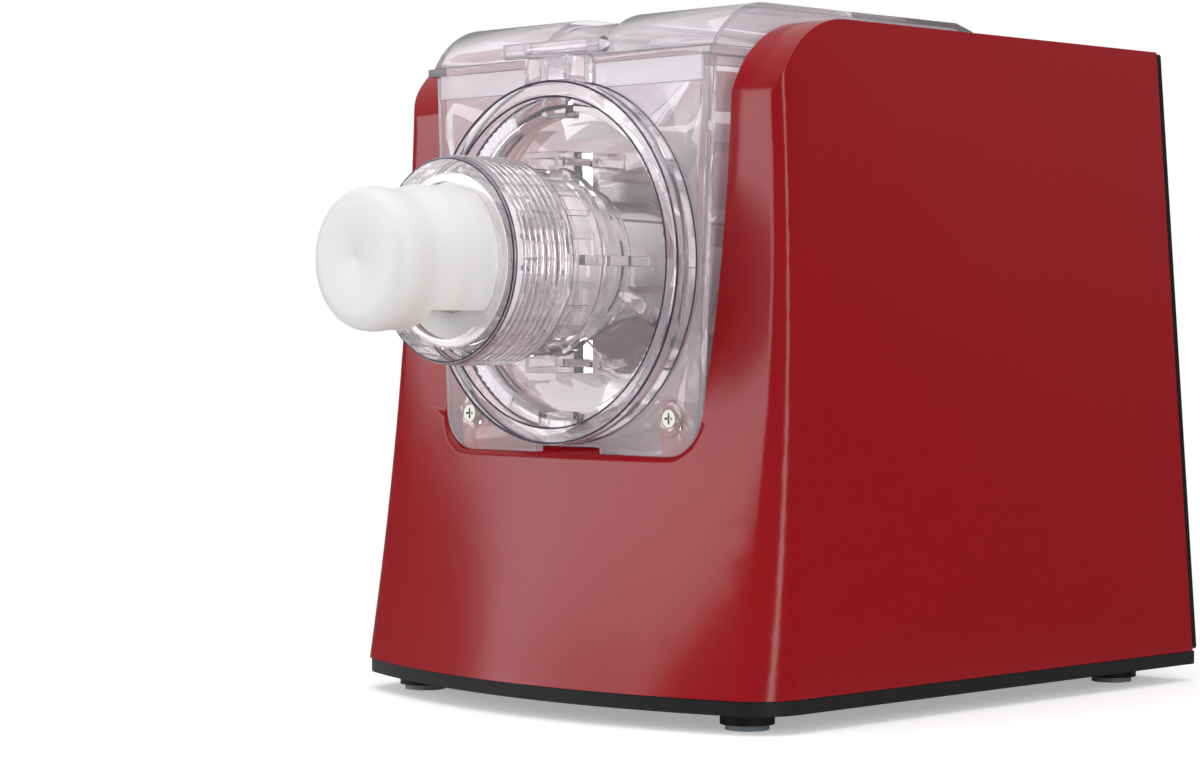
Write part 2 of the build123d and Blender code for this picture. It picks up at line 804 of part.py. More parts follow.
inlet_plane = Plane(origin=back_plane.from_local_coords((inlet_local, inlet_rise, 0)),
                    x_dir=back_plane.x_dir, z_dir=back_plane.z_dir)
pin_places = ((-pin_across, -pin_rise), (pin_across, -pin_rise), (0, pin_rise))
with BuildPart() as power_inlet:
    with BuildSketch(inlet_plane) as flange:
        RectangleRounded(inlet_flange_width, inlet_flange_tall, inlet_flange_corner)
    extrude(flange.sketch, amount=inlet_flange_wall)
    with BuildSketch(inlet_plane) as body:
        Rectangle(inlet_width, inlet_tall)
    extrude(body.sketch, amount=-inlet_depth)
    with BuildSketch(inlet_plane.offset(inlet_flange_wall)) as socket:
        Rectangle(inlet_width - 2 * inlet_wall, inlet_tall - 2 * inlet_wall)
        chamfer(socket.vertices().group_by(Axis.Y)[-1], inlet_key)
    extrude(socket.sketch, amount=-(inlet_depth + inlet_flange_wall - inlet_end_wall), mode=Mode.SUBTRACT)
    for radius, depth in ((screw_radius, inlet_flange_wall), (screw_head_radius, screw_head_height)):
        with BuildSketch(inlet_plane.offset(inlet_flange_wall)) as cuts:
            with GridLocations(inlet_screw_span, 0, 2, 1):
                Circle(radius + hole_gap)
        extrude(cuts.sketch, amount=-depth, mode=Mode.SUBTRACT)
    with BuildSketch(inlet_plane.offset(-inlet_depth)) as slots:
        for place in pin_places:
            with Locations(place):
                Rectangle(pin_thick, pin_width)
    extrude(slots.sketch, amount=inlet_end_wall + over, mode=Mode.SUBTRACT)
keep(power_inlet, "power_inlet")

with BuildPart() as inlet_pins:
    with BuildSketch(inlet_plane.offset(-inlet_depth - pin_tab)) as blades:
        for place in pin_places:
            with Locations(place):
                Rectangle(pin_thick, pin_width)
    extrude(blades.sketch, amount=inlet_depth + pin_tab - pin_recess)
keep(inlet_pins, "inlet_pins")

with BuildPart() as inlet_screws:
    for dx in (-1, 1):
        seat = inlet_plane.from_local_coords(
            (dx * inlet_screw_span / 2, 0, inlet_flange_wall - screw_head_height))
        screw(seat, -inlet_plane.z_dir, inlet_screw_length)
keep(inlet_screws, "inlet_screws")

# =====================================================================================
# Mixing chamber, front cover, ring nut and die head
# =====================================================================================

tub_plane_y = plate_y + plate_wall
boss_front = plate_y - boss_proud
lug_angles = [45 + 360 / lug_count * k for k in range(lug_count)]
lug_inner = opening_radius - cover_play
lug_outer = lug_inner + lug_reach
lug_front = tub_plane_y + cover_play
shell_disc_back = plate_y + disc_set_back + disc_wall
rim_back = plate_y - cover_play


def plate_outline(y, half_foot, half_top, low, high, corner):
    """A panel that widens upwards, with rounded lower corners."""
    with BuildSketch(front_plane(y)) as outline:
        with BuildLine():
            Polyline((-half_foot, low), (half_foot, low), (half_top, high), (-half_top, high), close=True)
        make_face()
        fillet(outline.vertices().group_by(Axis.Y)[0], corner)
    return outline.sketch


def tub_outline(y, offset, top):
    """A U that widens upwards, moved outwards by offset."""
    low = tub_radius + offset
    high = tub_half_top + offset
    with BuildSketch(front_plane(y)) as outline:
        with BuildLine():
            ThreePointArc((-low, spindle_height), (0, spindle_height - low), (low, spindle_height))
            Polyline((low, spindle_height), (high, top), (-high, top), (-low, spindle_height))
        make_face()
    return outline.sketch


def sector(y_range, inner, outer, middle, width, mode=Mode.ADD):
    """Part of a lengthwise tube: width degrees round its middle angle, seen from the front."""
    with BuildSketch(front_plane(y_range[1])) as wedge:
        with BuildLine():
            first = radians(middle - width / 2)
            last = radians(middle + width / 2)
            centre = radians(middle)
            points = [
                [(r * cos(a), spindle_height + r * sin(a)) for a in (first, centre, last)]
                for r in (inner, outer)
            ]
            ThreePointArc(*points[0])
            Line(points[0][2], points[1][2])
            ThreePointArc(*reversed(points[1]))
            Line(points[1][0], points[0][0])
        make_face()
    extrude(wedge.sketch, amount=y_range[1] - y_range[0], mode=mode)


with BuildPart() as mixing_chamber:
    plate = plate_outline(plate_y, plate_half_foot, plate_half_top, plate_foot, plate_top, plate_corner)
    extrude(plate, amount=-plate_wall)
    extrude(tub_outline(tub_plane_y, tub_wall, plate_top), amount=-(tub_length - plate_wall))
    extrude(tub_outline(tub_plane_y, 0, overall_height), amount=-(tub_length - plate_wall - tub_wall),
            mode=Mode.SUBTRACT)
    block((-lip_half, lip_half), (plate_y - lip_front, plate_y + lip_rear),
          (plate_top - lip_height, plate_top))
    block((-tub_half_top, tub_half_top), (tub_plane_y, tub_rear - tub_wall),
          (plate_top - 2 * lip_height, overall_height), mode=Mode.SUBTRACT)
    # Guide for the lid's tongue: two cheeks with a slot that is open to the front
    block(
        (-guide_half, guide_half),
        (plate_y - guide_reach, plate_y + over),
        (plate_top - guide_rise, plate_top),
    )
    block((-guide_slot_half, guide_slot_half), (plate_y - 2 * guide_reach, plate_y),
          (plate_top - 2 * guide_rise, overall_height), mode=Mode.SUBTRACT)
    # Frosted strips under the lip, one each side of the guide
    for side in (-1, 1):
        block(
            sorted((side * (guide_half - over), side * (plate_half_top - strip_gap))),
            (plate_y - strip_wall, plate_y + over),
            (plate_top - lip_height - strip_height, plate_top - over),
        )
    # Room for the cover's ring in front of the plate
    rod(0, spindle_height, (plate_y - 2 * guide_reach, plate_y), ring_radius + gap, mode=Mode.SUBTRACT)
    # Round opening, with a notch for each of the cover's lugs in the unlocked position
    rod(0, spindle_height, (plate_y - over, tub_plane_y), opening_radius, mode=Mode.SUBTRACT)
    for angle in lug_angles:
        sector((plate_y - over, tub_plane_y), opening_radius - over, lug_outer + cover_play,
               angle - cover_turn, lug_width + lug_play, mode=Mode.SUBTRACT)
    block((-notch_half, notch_half), (plate_y - over, tub_plane_y),
          (plate_foot - over, plate_foot + notch_height), mode=Mode.SUBTRACT)
    for side in (-1, 1):
        x = side * boss_across
        rod(x, boss_z, (boss_front, plate_y + over), boss_radius)
        rod(x, boss_z, (boss_front - over, tub_plane_y + over), screw_radius + hole_gap, mode=Mode.SUBTRACT)
        rod(x, boss_z, (boss_front - over, boss_front + screw_head_height), screw_head_radius + hole_gap,
            mode=Mode.SUBTRACT)
    # Boss for the shaft seal
    rod(0, spindle_height, (tub_rear - over, well_rear - gap), seal_radius + tub_wall)
    rod(0, spindle_height, (tub_rear - tub_wall - over, well_rear), seal_radius, mode=Mode.SUBTRACT)
keep(mixing_chamber, "mixing_chamber")

with BuildPart() as chamber_screws:
    for side in (-1, 1):
        screw((side * boss_across, boss_front + screw_head_height, boss_z), (0, 1, 0),
              chamber_screw_length)
keep(chamber_screws, "chamber_screws")

with BuildPart() as shaft_seal:
    ring(tub_rear - tub_wall, well_rear - gap, output_shaft_radius + running_gap, seal_radius)
    ring(tub_rear, well_rear, output_shaft_radius + seal_lip, seal_radius - seal_rim, mode=Mode.SUBTRACT)
keep(shaft_seal, "shaft_seal")


def helix_ridge(radius, outline, pitch, turns, start, spin):
    """A right-hand helical ridge along +Y; its outline is (outwards, along) points from the radius."""
    with BuildPart() as ridge:
        with BuildLine() as path:
            Helix(pitch=pitch, height=pitch * turns, radius=radius)
        with BuildSketch(Plane(origin=path.line @ 0, x_dir=(1, 0, 0), z_dir=path.line % 0)) as section:
            with BuildLine():
                Polyline(outline, close=True)
            make_face()
        sweep(section.sketch, path=path.line, is_frenet=True)
    seat = Plane(origin=(0, start, spindle_height), x_dir=(1, 0, 0), z_dir=(0, 1, 0))
    return seat.location * (Rotation(0, 0, spin) * ridge.part)


def thread_outline(direction):
    """A thread's section from its root: direction is 1 for a bolt and -1 for a nut."""
    return [
        (-direction * thread_play, -thread_root_width / 2),
        (direction * thread_depth, -thread_crest_width / 2),
        (direction * thread_depth, thread_crest_width / 2),
        (-direction * thread_play, thread_root_width / 2),
    ]


barrel_thread_start = barrel_front + thread_lead
nut_thread_start = barrel_thread_start + thread_pitch / 2

with BuildPart() as front_cover:
    # Ring, web, sleeve and disc
    ring(plate_y - ring_reach, rim_back, ring_radius - ring_wall, ring_radius)
    ring(rim_back - web_wall, rim_back, lug_inner - web_wall, ring_radius)
    ring(rim_back - web_wall, shell_disc_back, lug_inner - web_wall, lug_inner)
    ring(plate_y + disc_set_back, shell_disc_back, bore_radius, lug_inner)
    for angle in lug_angles:
        sector((lug_front, shell_disc_back), lug_inner - over, lug_outer, angle, lug_width)
    # Tube that the auger turns in, with two windows where the dough goes in
    ring(barrel_front, plate_y + tube_inside, bore_radius, bore_radius + tube_wall)
    block((-2 * bore_radius, 2 * bore_radius), (plate_y + dough_start, plate_y + dough_end),
          (spindle_height + dough_rise, spindle_height + 2 * dough_rise), mode=Mode.SUBTRACT)
    block((-fin_wall / 2, fin_wall / 2), (plate_y + fin_start, plate_y + fin_end),
          (spindle_height + bore_radius + tube_wall / 2, spindle_height + fin_reach))
    # Barrel and its collar
    ring(barrel_front, plate_y + disc_set_back + over, barrel_radius - barrel_wall, barrel_radius)
    ring(plate_y - collar_front, plate_y - collar_front + collar_wall, barrel_radius - over, collar_radius)
    # Grips over and under the barrel: open boxes
    for side in (-1, 1):
        near = spindle_height + side * (barrel_radius - over)
        far = spindle_height + side * grip_reach
        block((-grip_half_width, grip_half_width), (plate_y - collar_front, plate_y + disc_set_back + over),
              sorted((near, far)))
        block(
            (-grip_half_width + grip_wall, grip_half_width - grip_wall),
            (plate_y - collar_front - over, plate_y + disc_set_back),
            sorted((spindle_height + side * collar_radius, far - side * grip_wall)),
            mode=Mode.SUBTRACT,
        )
        block(
            sorted((side * (barrel_radius - over), side * arm_reach)),
            (plate_y - collar_front, plate_y + disc_set_back + over),
            (spindle_height - arm_wall / 2, spindle_height + arm_wall / 2),
        )
        block(
            sorted((side * (skirt_radius + arm_gap), side * arm_reach)),
            (plate_y - arm_front, plate_y - collar_front),
            (spindle_height - arm_wall / 2, spindle_height + arm_wall / 2),
        )
    # Pocket block at the top of the ring and latch block at its foot
    ring_inner = ring_radius - ring_wall
    block(
        (-catch_half, catch_half),
        (plate_y - ring_reach + ring_wall / 2, rim_back),
        (spindle_height + ring_inner - catch_height, spindle_height + ring_inner + web_wall / 2),
    )
    block(
        (-foot_block_half, foot_block_half),
        (plate_y - ring_reach + 2 * ring_wall / 3, rim_back),
        (spindle_height - ring_inner - web_wall / 2, spindle_height - ring_inner + foot_block_height),
    )
    add(helix_ridge(barrel_radius, thread_outline(1), thread_pitch, barrel_turns, barrel_thread_start, 0))
keep(front_cover, "front_cover")

with BuildPart() as ring_nut:
    turned([
        (nut_front, head_radius + nut_room),
        (nut_front, nut_radius - nut_chamfer),
        (nut_front + nut_chamfer, nut_radius),
        (plate_y - nut_step - nut_chamfer, nut_radius),
        (plate_y - nut_step, nut_radius - nut_chamfer),
        (plate_y - nut_step, skirt_radius),
        (nut_back, skirt_radius),
        (nut_back, nut_bore),
        (nut_front + nut_lip_wall, nut_bore),
        (nut_front + nut_lip_wall, head_radius + nut_room),
    ])
    add(helix_ridge(nut_bore, thread_outline(-1), thread_pitch, nut_turns, nut_thread_start, 0))
keep(ring_nut, "ring_nut")

flat_z = spindle_height - head_flat_drop
outlet_y = plate_y - die_set_out
flat_front = outlet_y - die_length / 2 - die_rim
nose_y = plate_y - snout_reach
cavity_end = nose_y + head_nose_wall
neck_y = nose_y + head_neck
waist_y = nose_y + head_waist
cap_y = nose_y + head_cap

with BuildPart() as die_head:
    with BuildSketch(Plane.YZ) as half:
        with BuildLine():
            Polyline(
                (nose_y, spindle_height),
                (flange_back, spindle_height),
                (flange_back, spindle_height + head_flange_radius),
                (flange_front, spindle_height + head_flange_radius),
                (flange_front, spindle_height + head_radius),
                (neck_y, spindle_height + head_radius),
            )
            Spline(
                (neck_y, spindle_height + head_radius),
                (waist_y, spindle_height + head_waist_radius),
                (cap_y, spindle_height + head_cap_radius),
                tangents=((-1, 0), (-1, 0)),
            )
            Spline(
                (cap_y, spindle_height + head_cap_radius),
                (nose_y, spindle_height + head_cap_radius - nose_round),
                tangents=((-1, 0), (0, -1)),
            )
            Line((nose_y, spindle_height + head_cap_radius - nose_round), (nose_y, spindle_height))
        make_face()
    revolve(half.sketch, axis=Axis((0, 0, spindle_height), (0, 1, 0)))
    rod(0, spindle_height, (cavity_end, flange_back + over), head_bore, mode=Mode.SUBTRACT)
    block((-head_radius, head_radius), (flat_front, flange_front),
          (spindle_height - 2 * head_radius, flat_z), mode=Mode.SUBTRACT)
    # Outlet, with a ledge that the die sits on
    block(
        (-die_width / 2 + die_ledge - gap, die_width / 2 - die_ledge + gap),
        (outlet_y - die_length / 2 + die_ledge - gap, outlet_y + die_length / 2 - die_ledge + gap),
        (flat_z - over, spindle_height),
        mode=Mode.SUBTRACT,
    )
    block(
        (-die_width / 2 - gap / 2, die_width / 2 + gap / 2),
        (outlet_y - die_length / 2 - gap / 2, outlet_y + die_length / 2 + gap / 2),
        (flat_z + die_body_wall - die_flange_wall, spindle_height),
        mode=Mode.SUBTRACT,
    )
keep(die_head, "die_head")

with BuildPart() as die:
    block((-die_width / 2, die_width / 2), (outlet_y - die_length / 2, outlet_y + die_length / 2),
          (flat_z + die_body_wall - die_flange_wall, flat_z + die_body_wall))
    block((-die_width / 2 + die_ledge, die_width / 2 - die_ledge),
          (outlet_y - die_length / 2 + die_ledge, outlet_y + die_length / 2 - die_ledge),
          (flat_z, flat_z + die_body_wall))
    with BuildSketch(Plane.XY.offset(flat_z)) as holes:
        with Locations((0, outlet_y)):
            with GridLocations(die_pitch, die_pitch, die_columns, die_rows):
                Circle(die_hole_radius)
    extrude(holes.sketch, amount=die_body_wall, mode=Mode.SUBTRACT)
keep(die, "die")

# =====================================================================================
# Auger and mixing paddle
# =====================================================================================

auger_front = barrel_front + auger_recess
auger_rear = plate_y + auger_end
hub_front = auger_rear + gap
hub_rear = tub_rear - tub_wall - gap
square_front = auger_rear - socket_depth
flight_radius = bore_radius - auger_play
socket_half = drive_square / 2 + square_play / 2

with BuildPart() as auger:
    ring(auger_front, auger_rear, 0, auger_core)
    turned([(auger_front - auger_nose, 0), (auger_front, 0), (auger_front, auger_core),
            (auger_front - auger_nose, auger_nose_radius)])
    ring(square_front - 2 * auger_hub_wall, auger_rear, 0, auger_core + auger_hub_wall)
    block((-socket_half, socket_half), (square_front - gap, auger_rear + over),
          (spindle_height - socket_half, spindle_height + socket_half), mode=Mode.SUBTRACT)
    flight_height = flight_radius - auger_core
    add(helix_ridge(auger_core, [(-flight_root, -flight_wall / 2 - flight_flare),
                                 (flight_height, -flight_wall / 2 + flight_taper),
                                 (flight_height, flight_wall / 2 - flight_taper),
                                 (-flight_root, flight_wall / 2 + flight_flare)],
                    flight_pitch, flight_turns, auger_front + flight_wall, 90))
keep(auger, "auger")

blade_inner = paddle_reach - blade_wall
with BuildPart() as mixing_paddle:
    ring(hub_front, hub_rear, 0, paddle_hub_radius)
    for side in (-1, 1):
        angle = 90 * side
        sector((hub_front + arm_set_back, hub_rear), paddle_hub_radius - over, paddle_reach, angle,
               degrees(arm_width / paddle_reach))
        blade_y = plate_y + (blade_front_upper if side > 0 else blade_front_lower)
        sector((blade_y, hub_rear), blade_inner, paddle_reach, angle, blade_width)
        sector((blade_y - over, blade_y + blade_cut_length), blade_inner - over, paddle_reach + over,
               angle + side * blade_cut_middle, blade_cut, mode=Mode.SUBTRACT)
    block((-socket_half, socket_half), (hub_front - over, hub_rear + over),
          (spindle_height - socket_half, spindle_height + socket_half), mode=Mode.SUBTRACT)
keep(mixing_paddle, "mixing_paddle")

# =====================================================================================
# Lid and its switch
# =====================================================================================

lid_front_y = plate_y
lid_arc_y = lid_front_y + lid_front_run
lid_arc_z = overall_height - lid_front_radius


def lid_outline(inset, low):
    """The lid from the side, moved in by inset and open downwards to low."""
    radius = lid_front_radius - inset
    top = overall_height - inset
    barrel = hinge_rise - inset
    start_angle = pi - asin((lid_bottom - lid_arc_z) / radius)
    middle_angle = (start_angle + pi / 2) / 2
    fall_y = hinge_y - hinge_fall
    reach = sqrt(hinge_fall**2 + (top - hinge_height) ** 2)
    tangent = atan2(top - hinge_height, -hinge_fall) - acos(barrel / reach)
    start = (lid_arc_y + radius * cos(start_angle), lid_bottom)
    with BuildSketch(Plane.YZ) as outline:
        with BuildLine():
            ThreePointArc(
                start,
                (lid_arc_y + radius * cos(middle_angle), lid_arc_z + radius * sin(middle_angle)),
                (lid_arc_y, top),
            )
            Line((lid_arc_y, top), (fall_y, top))
            touch = (hinge_y + barrel * cos(tangent), hinge_height + barrel * sin(tangent))
            Line((fall_y, top), touch)
            halfway = tangent / 2 - pi / 4
            ThreePointArc(
                touch,
                (hinge_y + barrel * cos(halfway), hinge_height + barrel * sin(halfway)),
                (hinge_y, hinge_height - barrel),
            )
            corners = [(hinge_y, hinge_height - barrel), (hinge_y, low), (start[0], low), start]
            steps = zip(corners, corners[1:])
            Polyline(corners[0], *[new for old, new in steps if dist(old, new) > running_gap])
        make_face()
    return outline.sketch


bar_y = plate_y - grip_bar_ahead
bar_z = plate_top + grip_bar_radius + gap
tongue_y = plate_y - guide_reach + gap
pour_y = plate_y + channel_end - pour_length / 2 - pour_inset

with BuildPart() as lid:
    extrude(lid_outline(0, lid_bottom), amount=lid_half, both=True)
    inner = lid_outline(lid_wall, lid_bottom - over)
    extrude(inner, amount=lid_half - lid_wall, both=True, mode=Mode.SUBTRACT)
    # Sunken channel along the middle, with its own floor, and the opening for liquid
    with BuildPart(mode=Mode.PRIVATE) as channel:
        extrude(lid_outline(lid_wall / 2, lid_bottom), amount=channel_half + lid_wall, both=True)
        extrude(lid_outline(channel_depth + lid_wall, lid_bottom - over), amount=channel_half + lid_wall,
                both=True, mode=Mode.SUBTRACT)
        block(
            (-lid_half, lid_half),
            (plate_y + channel_end + lid_wall, hinge_y + lid_half),
            (0, overall_height),
            mode=Mode.SUBTRACT,
        )
    add(channel.part)
    with BuildPart(mode=Mode.PRIVATE) as sunk:
        extrude(lid_outline(-over, lid_bottom - over), amount=channel_half, both=True)
        under = lid_outline(channel_depth, lid_bottom - 2 * over)
        extrude(under, amount=channel_half, both=True, mode=Mode.SUBTRACT)
        block((-lid_half, lid_half), (plate_y + channel_end, hinge_y + lid_half), (0, 2 * overall_height),
              mode=Mode.SUBTRACT)
    add(sunk.part, mode=Mode.SUBTRACT)
    block((-pour_width / 2, pour_width / 2), (pour_y - pour_length / 2, pour_y + pour_length / 2),
          (lid_bottom, overall_height + over), mode=Mode.SUBTRACT)
    # Grip bar, its foot on the lid's front edge, and the tongue that goes down the guide
    with Locations((0, bar_y, bar_z)):
        Cylinder(grip_bar_radius, grip_bar_length, rotation=(0, 90, 0))
    block((-channel_half, channel_half), (bar_y, plate_y + grip_foot),
          (lid_bottom, lid_bottom + grip_foot_height))
    block((-tongue_half, tongue_half), (tongue_y, tongue_y + tongue_wall),
          (spindle_height + ring_radius + gap, bar_z))
    # Hubs for the hinge pins
    for side in (-1, 1):
        with Locations((side * (lid_half - lid_wall), hinge_y, hinge_height)):
            Cylinder(hinge_pin_radius + hinge_hub_wall, 2 * lid_wall, rotation=(0, 90, 0))
        with Locations((side * lid_half, hinge_y, hinge_height)):
            Cylinder(hinge_pin_radius, 6 * lid_wall, rotation=(0, 90, 0), mode=Mode.SUBTRACT)
keep(lid, "lid")

pin_start = lid_half - 2 * lid_wall
pin_end = cheek_x + pin_depth - gap
with BuildPart() as lid_hinge_pins:
    for side in (-1, 1):
        with Locations((side * (pin_start + pin_end) / 2, hinge_y, hinge_height)):
            Cylinder(hinge_pin_radius, pin_end - pin_start, rotation=(0, 90, 0))
keep(lid_hinge_pins, "lid_hinge_pins")

plunger_z = hinge_height - plunger_drop
plunger_tip = hinge_y + sqrt(hinge_rise**2 - (plunger_drop - plunger_radius) ** 2) + gap
switch_front = well_rear + well_wall
plunger_end = switch_front + plunger_inside
with BuildPart() as lid_switch:
    block((plunger_across - switch_half, plunger_across + switch_half),
          (switch_front, switch_front + switch_depth),
          (plunger_z - switch_low, shell_top - shell_wall - gap))
    rod(plunger_across, plunger_z, (switch_front - over, plunger_end + plunger_travel + gap),
        plunger_radius + 2 * running_gap, mode=Mode.SUBTRACT)
keep(lid_switch, "lid_switch")

with BuildPart() as lid_switch_plunger:
    rod(plunger_across, plunger_z, (plunger_tip, plunger_end), plunger_radius)
keep(lid_switch_plunger, "lid_switch_plunger")

# =====================================================================================
# Gear train and gearbox
# =====================================================================================


def gear_outline(module, teeth, first_tooth, plane):
    """A spur gear's outline with involute flanks; first_tooth is one tooth's angle in degrees."""
    slope = radians(pressure_angle)
    pitch_radius = module * teeth / 2
    base_radius = pitch_radius * cos(slope)
    root_radius = pitch_radius - root_modules * module
    tip_radius = pitch_radius + module
    half_tooth = (pi * module / 2 - tooth_play) / (2 * pitch_radius)
    start_radius = max(base_radius, root_radius)
    flank = [(root_radius, half_tooth + tan(slope) - slope)] if root_radius < base_radius else []
    for step in range(flank_steps + 1):
        radius = start_radius + (tip_radius - start_radius) * step / flank_steps
        angle = acos(min(1, base_radius / radius))
        flank.append((radius, half_tooth + tan(slope) - slope - tan(angle) + angle))
    points = []
    for tooth in range(teeth):
        middle = radians(first_tooth + 360 / teeth * tooth)
        points += [(r * cos(middle - half), r * sin(middle - half)) for r, half in flank]
        points += [(r * cos(middle + half), r * sin(middle + half)) for r, half in reversed(flank)]
    with BuildSketch(plane) as outline:
        with BuildLine():
            Polyline(points, close=True)
        make_face()
    return outline.sketch


def gear(module, teeth, first_tooth, height, y_range):
    """Add a gear on the lengthwise axis at a height."""
    plane = Plane(origin=(0, y_range[1], height), x_dir=(1, 0, 0), z_dir=(0, -1, 0))
    extrude(gear_outline(module, teeth, first_tooth, plane), amount=y_range[1] - y_range[0])


shaft_front = hub_front - square_reach
shaft_rear = gear_room_end + gearbox_wall + shaft_end
step_front = gearbox_front_y
step_rear = gear_room_end + gearbox_wall
motor_front_y = plate_y + motor_set_back
motor_rear_y = motor_front_y + motor_length
motor_shaft_front = motor_front_y - fan_gap - fan_wall - shaft_nose
slow_range = (slow_y, slow_y + slow_face)
fast_range = (fast_y, fast_y + fast_face)

# The output wheel has a tooth gap at its lowest point, and the step pinion a tooth at its highest
with BuildPart() as output_gear:
    gear(module_slow, output_teeth, -90 + 180 / output_teeth, spindle_height, slow_range)
    hub = output_shaft_radius + gear_hub_wall
    ring(slow_range[1], gear_room_end - gear_room, 0, hub)
    rim_inner = module_slow * (output_teeth / 2 - gear_rim_modules)
    for start in (slow_range[0], slow_range[1] - gear_web_recess):
        ring(start, start + gear_web_recess, hub + gear_hub_step, rim_inner, mode=Mode.SUBTRACT)
    ring(slow_range[0], gear_room_end, 0, output_shaft_radius, mode=Mode.SUBTRACT)
keep(output_gear, "output_gear")

with BuildPart() as output_shaft:
    ring(hub_rear + gap, shaft_rear, 0, output_shaft_radius)
    block((-drive_square / 2, drive_square / 2), (shaft_front, hub_rear + over),
          (spindle_height - drive_square / 2, spindle_height + drive_square / 2))
keep(output_shaft, "output_shaft")

with BuildPart() as step_pinion:
    gear(module_slow, step_teeth, 90, step_height, slow_range)
    ring(slow_range[0], slow_range[1], 0, step_shaft_radius, step_height, mode=Mode.SUBTRACT)
keep(step_pinion, "step_pinion")

with BuildPart() as step_wheel:
    gear(module_fast, wheel_teeth, -90 + 180 / wheel_teeth, step_height, fast_range)
    ring(slow_range[1], fast_range[0], 0, step_shaft_radius + step_hub_wall, step_height)
    ring(slow_range[1], fast_range[1], 0, step_shaft_radius, step_height, mode=Mode.SUBTRACT)
keep(step_wheel, "step_wheel")

with BuildPart() as step_shaft:
    ring(step_front, step_rear, 0, step_shaft_radius, step_height)
keep(step_shaft, "step_shaft")

pinion_range = (fast_range[0] - pinion_edge, fast_range[1] + pinion_edge)
with BuildPart() as motor_pinion:
    gear(module_fast, pinion_teeth, 90, motor_height, pinion_range)
    ring(*pinion_range, 0, motor_shaft_radius, motor_height, mode=Mode.SUBTRACT)
keep(motor_pinion, "motor_pinion")

output_room = module_slow * (output_teeth / 2 + 1) + gear_room
step_room = module_fast * (wheel_teeth / 2 + 1) + gear_room
pinion_room = module_fast * (pinion_teeth / 2 + 1) + 2 * gear_room
boss_swing = output_room + gearbox_rim + screw_radius
gearbox_boss_places = [
    (boss_swing * cos(radians(a)), spindle_height + boss_swing * sin(radians(a)))
    for a in gearbox_boss_angles
] + [(side * (step_room + 2 * gearbox_rim), step_height - gearbox_boss_radius) for side in (-1, 1)]


def gearbox_outline(y, offset):
    """The gearbox from the front: a hull round its three gears, moved outwards by offset."""
    with BuildSketch(front_plane(y)) as outline:
        with Locations((0, spindle_height)):
            Circle(output_room + offset)
        with Locations((0, step_height)):
            Circle(step_room + offset)
        with Locations((0, motor_height)):
            Circle(pinion_room + offset)
        make_hull()
    return outline.sketch


bush_output = output_shaft_radius + bush_wall
bush_step = step_shaft_radius + bush_wall
with BuildPart() as gearbox_front:
    extrude(gearbox_outline(gearbox_front_y, gearbox_rim), amount=-(parting_y - gearbox_front_y))
    for x, z in gearbox_boss_places:
        rod(x, z, (gearbox_front_y, parting_y), gearbox_boss_radius)
    block((-gearbox_foot_half, gearbox_foot_half), (gearbox_front_y, parting_y),
          (floor_top + gap, motor_height))
    extrude(gearbox_outline(gear_room_y, 0), amount=-(parting_y - gear_room_y), mode=Mode.SUBTRACT)
    ring(gearbox_front_y, gear_room_y, 0, bush_output, mode=Mode.SUBTRACT)
    ring(gearbox_front_y, gear_room_y, 0, bush_step, step_height, mode=Mode.SUBTRACT)
    ring(gearbox_front_y, gear_room_y, 0, motor_shaft_radius + shaft_room, motor_height,
         mode=Mode.SUBTRACT)
    for x, z in gearbox_boss_places:
        rod(x, z, (gear_room_y, parting_y), screw_radius + hole_gap, mode=Mode.SUBTRACT)
keep(gearbox_front, "gearbox_front")

with BuildPart() as gearbox_rear:
    rear_start = parting_y + running_gap
    extrude(gearbox_outline(rear_start, gearbox_rim), amount=-(step_rear - rear_start))
    for x, z in gearbox_boss_places:
        rod(x, z, (rear_start, step_rear), gearbox_boss_radius)
    extrude(gearbox_outline(parting_y, 0), amount=-(gear_room_end - parting_y), mode=Mode.SUBTRACT)
    ring(gear_room_end, step_rear, 0, bush_output, mode=Mode.SUBTRACT)
    ring(gear_room_end, step_rear, 0, bush_step, step_height, mode=Mode.SUBTRACT)
    for x, z in gearbox_boss_places:
        rod(x, z, (parting_y, step_rear), screw_radius + hole_gap, mode=Mode.SUBTRACT)
keep(gearbox_rear, "gearbox_rear")

with BuildPart() as gearbox_bushes:
    for start, end in ((gearbox_front_y, gear_room_y + bush_proud), (gear_room_end - bush_proud, step_rear)):
        ring(start, end, output_shaft_radius + running_gap, bush_output)
        ring(start, end, step_shaft_radius + running_gap, bush_step, step_height)
keep(gearbox_bushes, "gearbox_bushes")

with BuildPart() as gearbox_screws:
    for x, z in gearbox_boss_places:
        screw((x, step_rear, z), (0, -1, 0), step_rear - gear_room_y - 2 * blind)
keep(gearbox_screws, "gearbox_screws")

# =====================================================================================
# Motor
# =====================================================================================

stator_inner = motor_radius - motor_can_wall - stator_wall
rotor_radius = stator_inner - air_gap
core_start = motor_front_y + core_inset
core_end = motor_rear_y - core_inset
vent_circle = (bearing_radius + bearing_seat_wall + motor_radius - motor_can_wall) / 2
fan_radius = motor_radius - fan_inset

with BuildPart() as motor_can:
    ring(motor_front_y, motor_rear_y, motor_radius - motor_can_wall, motor_radius, motor_height)
keep(motor_can, "motor_can")

